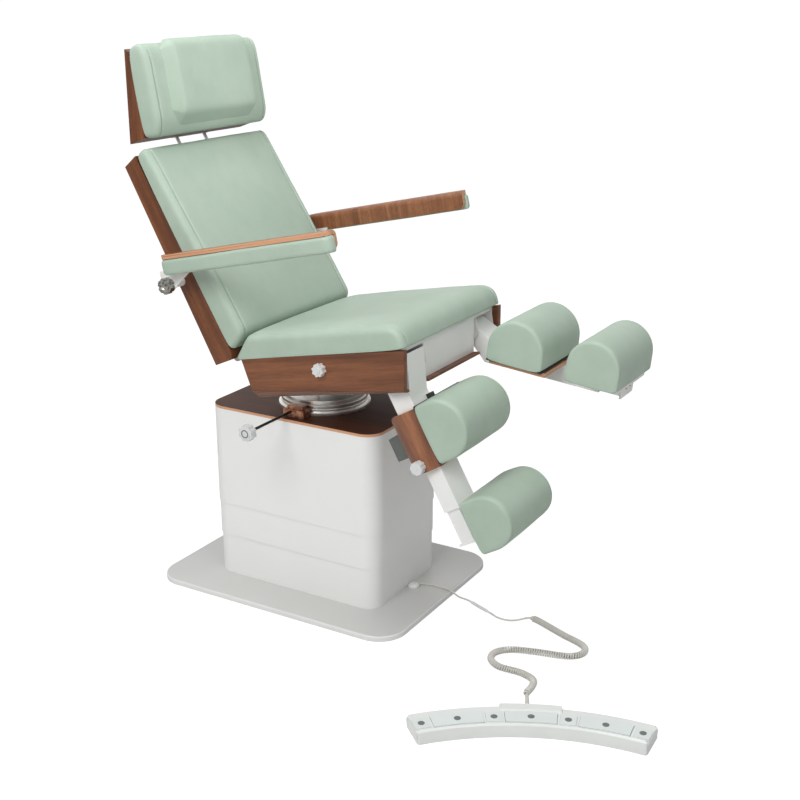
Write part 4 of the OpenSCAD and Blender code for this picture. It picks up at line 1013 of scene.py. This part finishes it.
WEDGE_LEAN = -9.79
HEAD = BACK @ moved(0.021, 0, 0.657) @ turned(-BACK_TURN)
HEAD_PAD = HEAD @ moved(0.0476, 0, 0.0139) @ turned(WEDGE_LEAN) @ FACE_DOWN
wrapped_pad(
    "head_pad",
    [
        (-0.0010, 0.0006),
        (0.0005, 0.006),
        (0.0030, 0.024),
        (0.0015, 0.038),
        (-0.0070, 0.0480),
        (-0.0220, 0.0550),
        (-0.0420, 0.0600),
        (-0.2100, 0.0600),
        (-0.2290, 0.0565),
        (-0.2420, 0.0490),
        (-0.2490, 0.037),
        (-0.2500, 0.022),
        (-0.2420, 0.006),
        (-0.2380, 0.0006),
    ],
    -0.254,
    0.254,
    HEAD_PAD,
    "head",
    ["headrest_cushion"],
    crown=0.003,
    step=0.03,
    roll=1.6,
    swell=0.001,
)
wrapped_pad(
    "head_pillow",
    [
        (-0.0150, 0.0440),
        (-0.0170, 0.0500),
        (-0.0280, 0.0640),
        (-0.0430, 0.0800),
        (-0.0500, 0.0862),
        (-0.0580, 0.0890),
        (-0.0700, 0.0900),
        (-0.2260, 0.0880),
        (-0.2380, 0.0860),
        (-0.2480, 0.0790),
        (-0.2560, 0.0660),
        (-0.2570, 0.0500),
        (-0.2540, 0.0440),
    ],
    -0.192,
    0.192,
    HEAD_PAD,
    "head",
    [],
    crown=0.003,
    step=0.025,
    ends=[
        (0.0, 0.0370),
        (0.0040, 0.0300),
        (0.0160, 0.0150),
        (0.0260, 0.0055),
        (0.0310, 0.0018),
        (0.0370, 0.0004),
        (0.0500, 0.0),
    ],
)


# Legs: a white square tube with a hinge cheek on each side of its root, a plywood
# saddle that turns down round the tube, a slider with the heel's board on it, and a
# round pad on the saddle and on the board.

# Painted shadow: a near-black finish for the gap at each leg's root, the faces under
# the end plate and the board under each calf pad
shadow_paint = Finish("painted_shadow_black")
shadow_mottle = shadow_paint.noise(shadow_paint.place(even(0.01)), 4)
painted_shadow_black = shadow_paint.finished(
    shadow_paint.blend(shadow_mottle, linear(34, 34, 35), linear(48, 48, 49)),
    0.6 + shadow_mottle * 0.15,
    shadow_mottle,
)
lock = Finish("dark_grey_moulding")
fine = lock.cells(lock.place(even(0.0013)))
worn_grey = lock.noise(lock.place(even(0.03)))
grey_moulding = lock.finished(
    lock.blend(worn_grey, linear(86, 90, 87), linear(98, 102, 98)),
    0.45 + fine * 0.15,
    fine,
    depth=0.00008,
)

# Measures of one leg in the frame on its hinge pin. Its X runs down the leg.
LEG_DROP = {"right": 60.5, "left": 6.0}
CALF_AT = {"right": 0.1014, "left": 0.1124}
HEEL_AT = {"right": 0.3764, "left": 0.3424}
MIRROR = Matrix.Scale(-1, 4, (0, 1, 0))
SHEET_TOP = -0.0134
LOCK_START, LOCK_END, LOCK_TOP = 0.05, 0.13, -0.0794
# Where painted shadow in black lies at the root of each leg tube
ROOT_SHADOW_START, ROOT_SHADOW_END, ROOT_SHADOW_WIDTH, ROOT_SHADOW_FOOT = 0.093, 0.1066, 0.177, -0.0172
SADDLE_Y, SADDLE_Z, SADDLE_INSIDE = 0.190, -0.0554, 0.0625
CUT_LOOK = 0.6
SCREWS_START, SCREWS_TOP = 0.1142, -0.03
PLATE_START, PLATE_FOOT, DOWN_LOOK = 0.1088, -0.07, -0.7
CALF_PAD, HEEL_PAD = (0.165, 0.126), (0.150, 0.127)
PAD_INSIDE, PAD_OUTSIDE = 0.006, 0.264
BOARD_WIDTH, BOARD_THICK, BOARD_CORNER = 0.254, 0.0022, 0.006


def tube_finish(calf):
    """White paint, a grey lock block behind the saddle, and painted shadow in black at
    the root.
    """

    def pick(spot, look):
        if spot.z < LOCK_TOP and calf + LOCK_START < spot.x < calf + LOCK_END:
            return 1
        # Painted shadow in black at the root, near the hinge
        in_root_shadow = ROOT_SHADOW_START < spot.x < ROOT_SHADOW_END and spot.y < ROOT_SHADOW_WIDTH
        return 2 if in_root_shadow and spot.z > ROOT_SHADOW_FOOT else 0

    return pick


def saddle_finish(spot, look):
    """Walnut outside and under, bare layers on every edge."""
    out = Vector((spot.y, spot.z)) - Vector((SADDLE_Y, SADDLE_Z))
    if abs(look.x) > CUT_LOOK:
        return 1
    if out.length > SADDLE_INSIDE and spot.y > SADDLE_Y:
        along = out.normalized().dot(Vector((look.y, look.z)))
        return 0 if abs(along) > CUT_LOOK else 1
    return 0 if abs(look.z) > CUT_LOOK else 1


def slider_finish(heel):
    """White paint, grey screw heads, and painted shade in black on the faces that look
    down under the end plate.
    """

    def pick(spot, look):
        if spot.x > heel + SCREWS_START and spot.z < SCREWS_TOP:
            return 1
        # Painted shade: black on the faces that look down under the end plate
        in_shade_under_plate = spot.x > heel + PLATE_START and spot.z < PLATE_FOOT
        return 2 if in_shade_under_plate and look.z < DOWN_LOOK else 0

    return pick


GUSSET_SEAM = [
    (0.0, 0.0085),
    (0.0004, 0.0052),
    (0.0018, 0.0024),
    (0.0040, 0.0009),
    (0.0062, 0.0003),
    (0.0074, 0.0036),
    (0.0086, 0.0036),
    (0.0098, 0.0002),
    (0.0180, 0.0),
]


def round_pad_profile(length, height):
    """D-shaped end of a round pad, with its flat side down."""
    radius = length / 2
    side = height - radius
    arc = [
        (radius + radius * cos(pi * k / 16), side + radius * sin(pi * k / 16))
        for k in range(17)
    ]
    return [
        (length - 0.002, 0.0004),
        (length, 0.007),
        *arc,
        (0.0, 0.007),
        (0.002, 0.0004),
    ]


def calf_shadow_board(name, length, place, body):
    """A thin black board that closes a calf pad underneath; its black is painted shadow
    under the pad.
    """
    bm = bmesh.new()
    bmesh.ops.create_cube(bm, size=1)
    size = Matrix.Diagonal((length + 0.001, BOARD_WIDTH, BOARD_THICK, 1))
    centre = moved(length / 2, (PAD_INSIDE + PAD_OUTSIDE) / 2, 0.0015)
    bmesh.ops.transform(bm, matrix=place @ centre @ size, verts=bm.verts)
    uprights = [e for e in bm.edges if abs(e.calc_length() - BOARD_THICK) < 1e-5]
    bevelled(bm, uprights, BOARD_CORNER, 4, False)
    bmesh.ops.recalc_face_normals(bm, faces=bm.faces)
    added(name, bm, [painted_shadow_black], body, [])


for side in ("right", "left"):
    hand = MIRROR if side == "right" else Matrix()
    turn, calf, heel = LEG_DROP[side], CALF_AT[side], HEEL_AT[side]
    LEG = SEAT @ moved(-0.0334, 0, -0.0529) @ turned(turn - SEAT_TURN) @ hand
    eased(
        f"leg_tube_{side}",
        [white_coat, grey_moulding, painted_shadow_black],
        f"leg_{side}",
        0.0016,
        other=tube_finish(calf),
        frame_of=LEG,
    )
    saddle_walnut = walnut(
        f"saddle_walnut_{side}", (0.20, 0.02, 0.02), turn, (163, 108, 74), (109, 62, 37)
    )
    saddle_edge = plywood_edge(f"saddle_edge_{side}", (0.3, 0.004, 0.0016), turn)
    eased(
        f"leg_saddle_{side}",
        [saddle_walnut, saddle_edge],
        f"leg_{side}",
        other=saddle_finish,
        frame_of=LEG,
    )
    eased(f"leg_knob_{side}", [knob_white], f"leg_knob_{side}", 0.0012, 3)
    eased(
        f"leg_slider_{side}",
        [white_coat, grey_inlay, painted_shadow_black],
        f"slide_{side}",
        other=slider_finish(heel),
        frame_of=LEG,
    )
    for name, at, size, body, node in (
        ("calf_pad", calf, CALF_PAD, f"leg_{side}", f"calf_cushion_{side}"),
        ("heel_pad", heel, HEEL_PAD, f"slide_{side}", f"heel_cushion_{side}"),
    ):
        place = LEG @ moved(at, 0, SHEET_TOP)
        wrapped_pad(
            f"{name}_{side}",
            round_pad_profile(*size),
            PAD_INSIDE,
            PAD_OUTSIDE,
            place,
            body,
            [node],
            step=0.03,
            swell=0.0015,
            ends=GUSSET_SEAM,
        )
        # Painted shadow: a thin black board under each calf pad only
        if name == "calf_pad":
            calf_shadow_board(f"{name}_board_{side}", size[0], place, body)


# Armrests: a bent plywood shell that turns outwards at the top, a pad under its
# top on the outer side, a white bracket and a dark chromed star knob on the pivot.

tarnish = Finish("dark_chrome", metallic=1.0)
cloud = tarnish.noise(tarnish.place(even(0.006)), 4)
dark_chrome = tarnish.finished(
    tarnish.ramp(cloud, (0.35, linear(104, 103, 98)), (0.6, linear(214, 213, 206))),
    0.12 + cloud * 0.12,
    cloud,
)
ARM_RISE = 12.5
SHELL_SIDE, SHELL_FOOT = 0.352, 0.07
BROAD_LOOK, ENDWISE_LOOK = 0.6, 0.3
arm_walnut = walnut(
    "arm_walnut", (0.014, 0.014, 0.22), -ARM_RISE, (166, 110, 74), (114, 66, 40)
)
arm_edge = plywood_edge("arm_edge", (0.4, 0.003, 0.0018), -ARM_RISE)


def shell_finish(spot, look):
    """Walnut on the broad faces, bare layers where the plywood is cut."""
    upright = spot.y < SHELL_SIDE
    if look.z > BROAD_LOOK or look.y < -BROAD_LOOK:
        return 0
    if look.y > BROAD_LOOK and upright:
        return 0
    if look.z < -BROAD_LOOK and spot.y > SHELL_SIDE:
        return 0
    if upright and spot.z > SHELL_FOOT and abs(look.x) < ENDWISE_LOOK:
        return 0
    return 1


# The pad's own Z looks outwards, and its X runs to the front of the arm
OUTWARDS = Matrix(((1, 0, 0, 0), (0, 0, 1, 0), (0, -1, 0, 0), (0, 0, 0, 1)))
low, high, reach = 0.030, 0.0738, 0.0322
first, last = 0.018, 0.586
for side in ("right", "left"):
    hand = MIRROR if side == "right" else Matrix()
    ARM = BACK @ moved(-0.012, 0, 0.252) @ turned(-BACK_TURN - ARM_RISE) @ hand
    group = f"arm_{side}"
    eased(
        f"armrest_shell_{side}",
        [arm_walnut, arm_edge],
        group,
        other=shell_finish,
        frame_of=ARM,
    )
    eased(f"armrest_bracket_{side}", [white_coat], group, 0.0006)
    knob = f"arm_knob_{side}"
    eased(f"armrest_knob_{side}", [dark_chrome], knob, 0.0012, 3)
    wrapped_pad(
        f"arm_pad_{side}",
        [
            (last, 0.0004),
            (last, 0.006),
            (last - 0.0015, 0.016),
            (last - 0.0060, 0.0245),
            (last - 0.0145, 0.0300),
            (last - 0.0280, reach),
            (first + 0.0280, reach),
            (first + 0.0145, 0.0300),
            (first + 0.0060, 0.0245),
            (first + 0.0015, 0.016),
            (first, 0.006),
            (first, 0.0004),
        ],
        -high,
        -low,
        ARM @ moved(0, 0.348, 0) @ OUTWARDS,
        group,
        [f"armrest_pad_{side}"],
        step=0.03,
        ends=[
            (0.0, 0.0105),
            (0.0006, 0.0064),
            (0.0028, 0.0026),
            (0.0066, 0.0006),
            (0.0110, 0.0),
        ],
    )


# Foot control: a curved housing in near-white plastic with three rockers and four
# square buttons. Each of these carries one plain dark dot.

eased("inline_connector", [white_moulding], "base", 0.0006)
eased("cord_relief", [cord_sheath], "base", 0.0004)
HOUSING_HALF = radians(22.65)
HOUSING_TURN = radians(93) + HOUSING_HALF
CORNER_WIDTH, CORNER_HEIGHT, CORNER_SLACK = 0.007, 0.003, 0.0002


def at_housing_corner(edge):
    """Whether an upright edge stands at one of the housing's two ends."""
    low, high = (spot.co for spot in edge.verts)
    middle = Vector((cos(HOUSING_TURN), sin(HOUSING_TURN)))
    return abs(low.z - high.z) > CORNER_HEIGHT and all(
        middle.angle((spot.xy - CONTROL_CENTRE.xy).normalized())
        > HOUSING_HALF - CORNER_SLACK
        for spot in (low, high)
    )


eased(
    "foot_housing",
    [white_moulding],
    "base",
    0.0012,
    rounder=(CORNER_WIDTH, at_housing_corner),
)
keys = Finish("key_plastic", coat_weight=0.1)
tint = keys.noise(keys.place(even(0.05)), 3)
grainy = keys.noise(keys.place(even(0.0008)), 2)
key_plastic = keys.finished(
    keys.blend(tint, linear(226, 232, 229), linear(217, 225, 223)),
    0.34 + tint * 0.1,
    grainy,
    depth=0.00005,
)
ROCKERS, ROCKER_DOT = 3, 0.0371
BUTTONS, BUTTON_DOT = 4, 0.0361
for kind, number, dot in (
    ("rocker", ROCKERS, ROCKER_DOT),
    ("button", BUTTONS, BUTTON_DOT),
):
    for k in range(1, number + 1):
        eased(
            f"foot_{kind}_{k}",
            [key_plastic, grey_inlay],
            f"{kind}_{k}",
            0.0009,
            other=lambda spot, look: 1 if spot.z > dot else 0,
        )
line_length(cord_line)
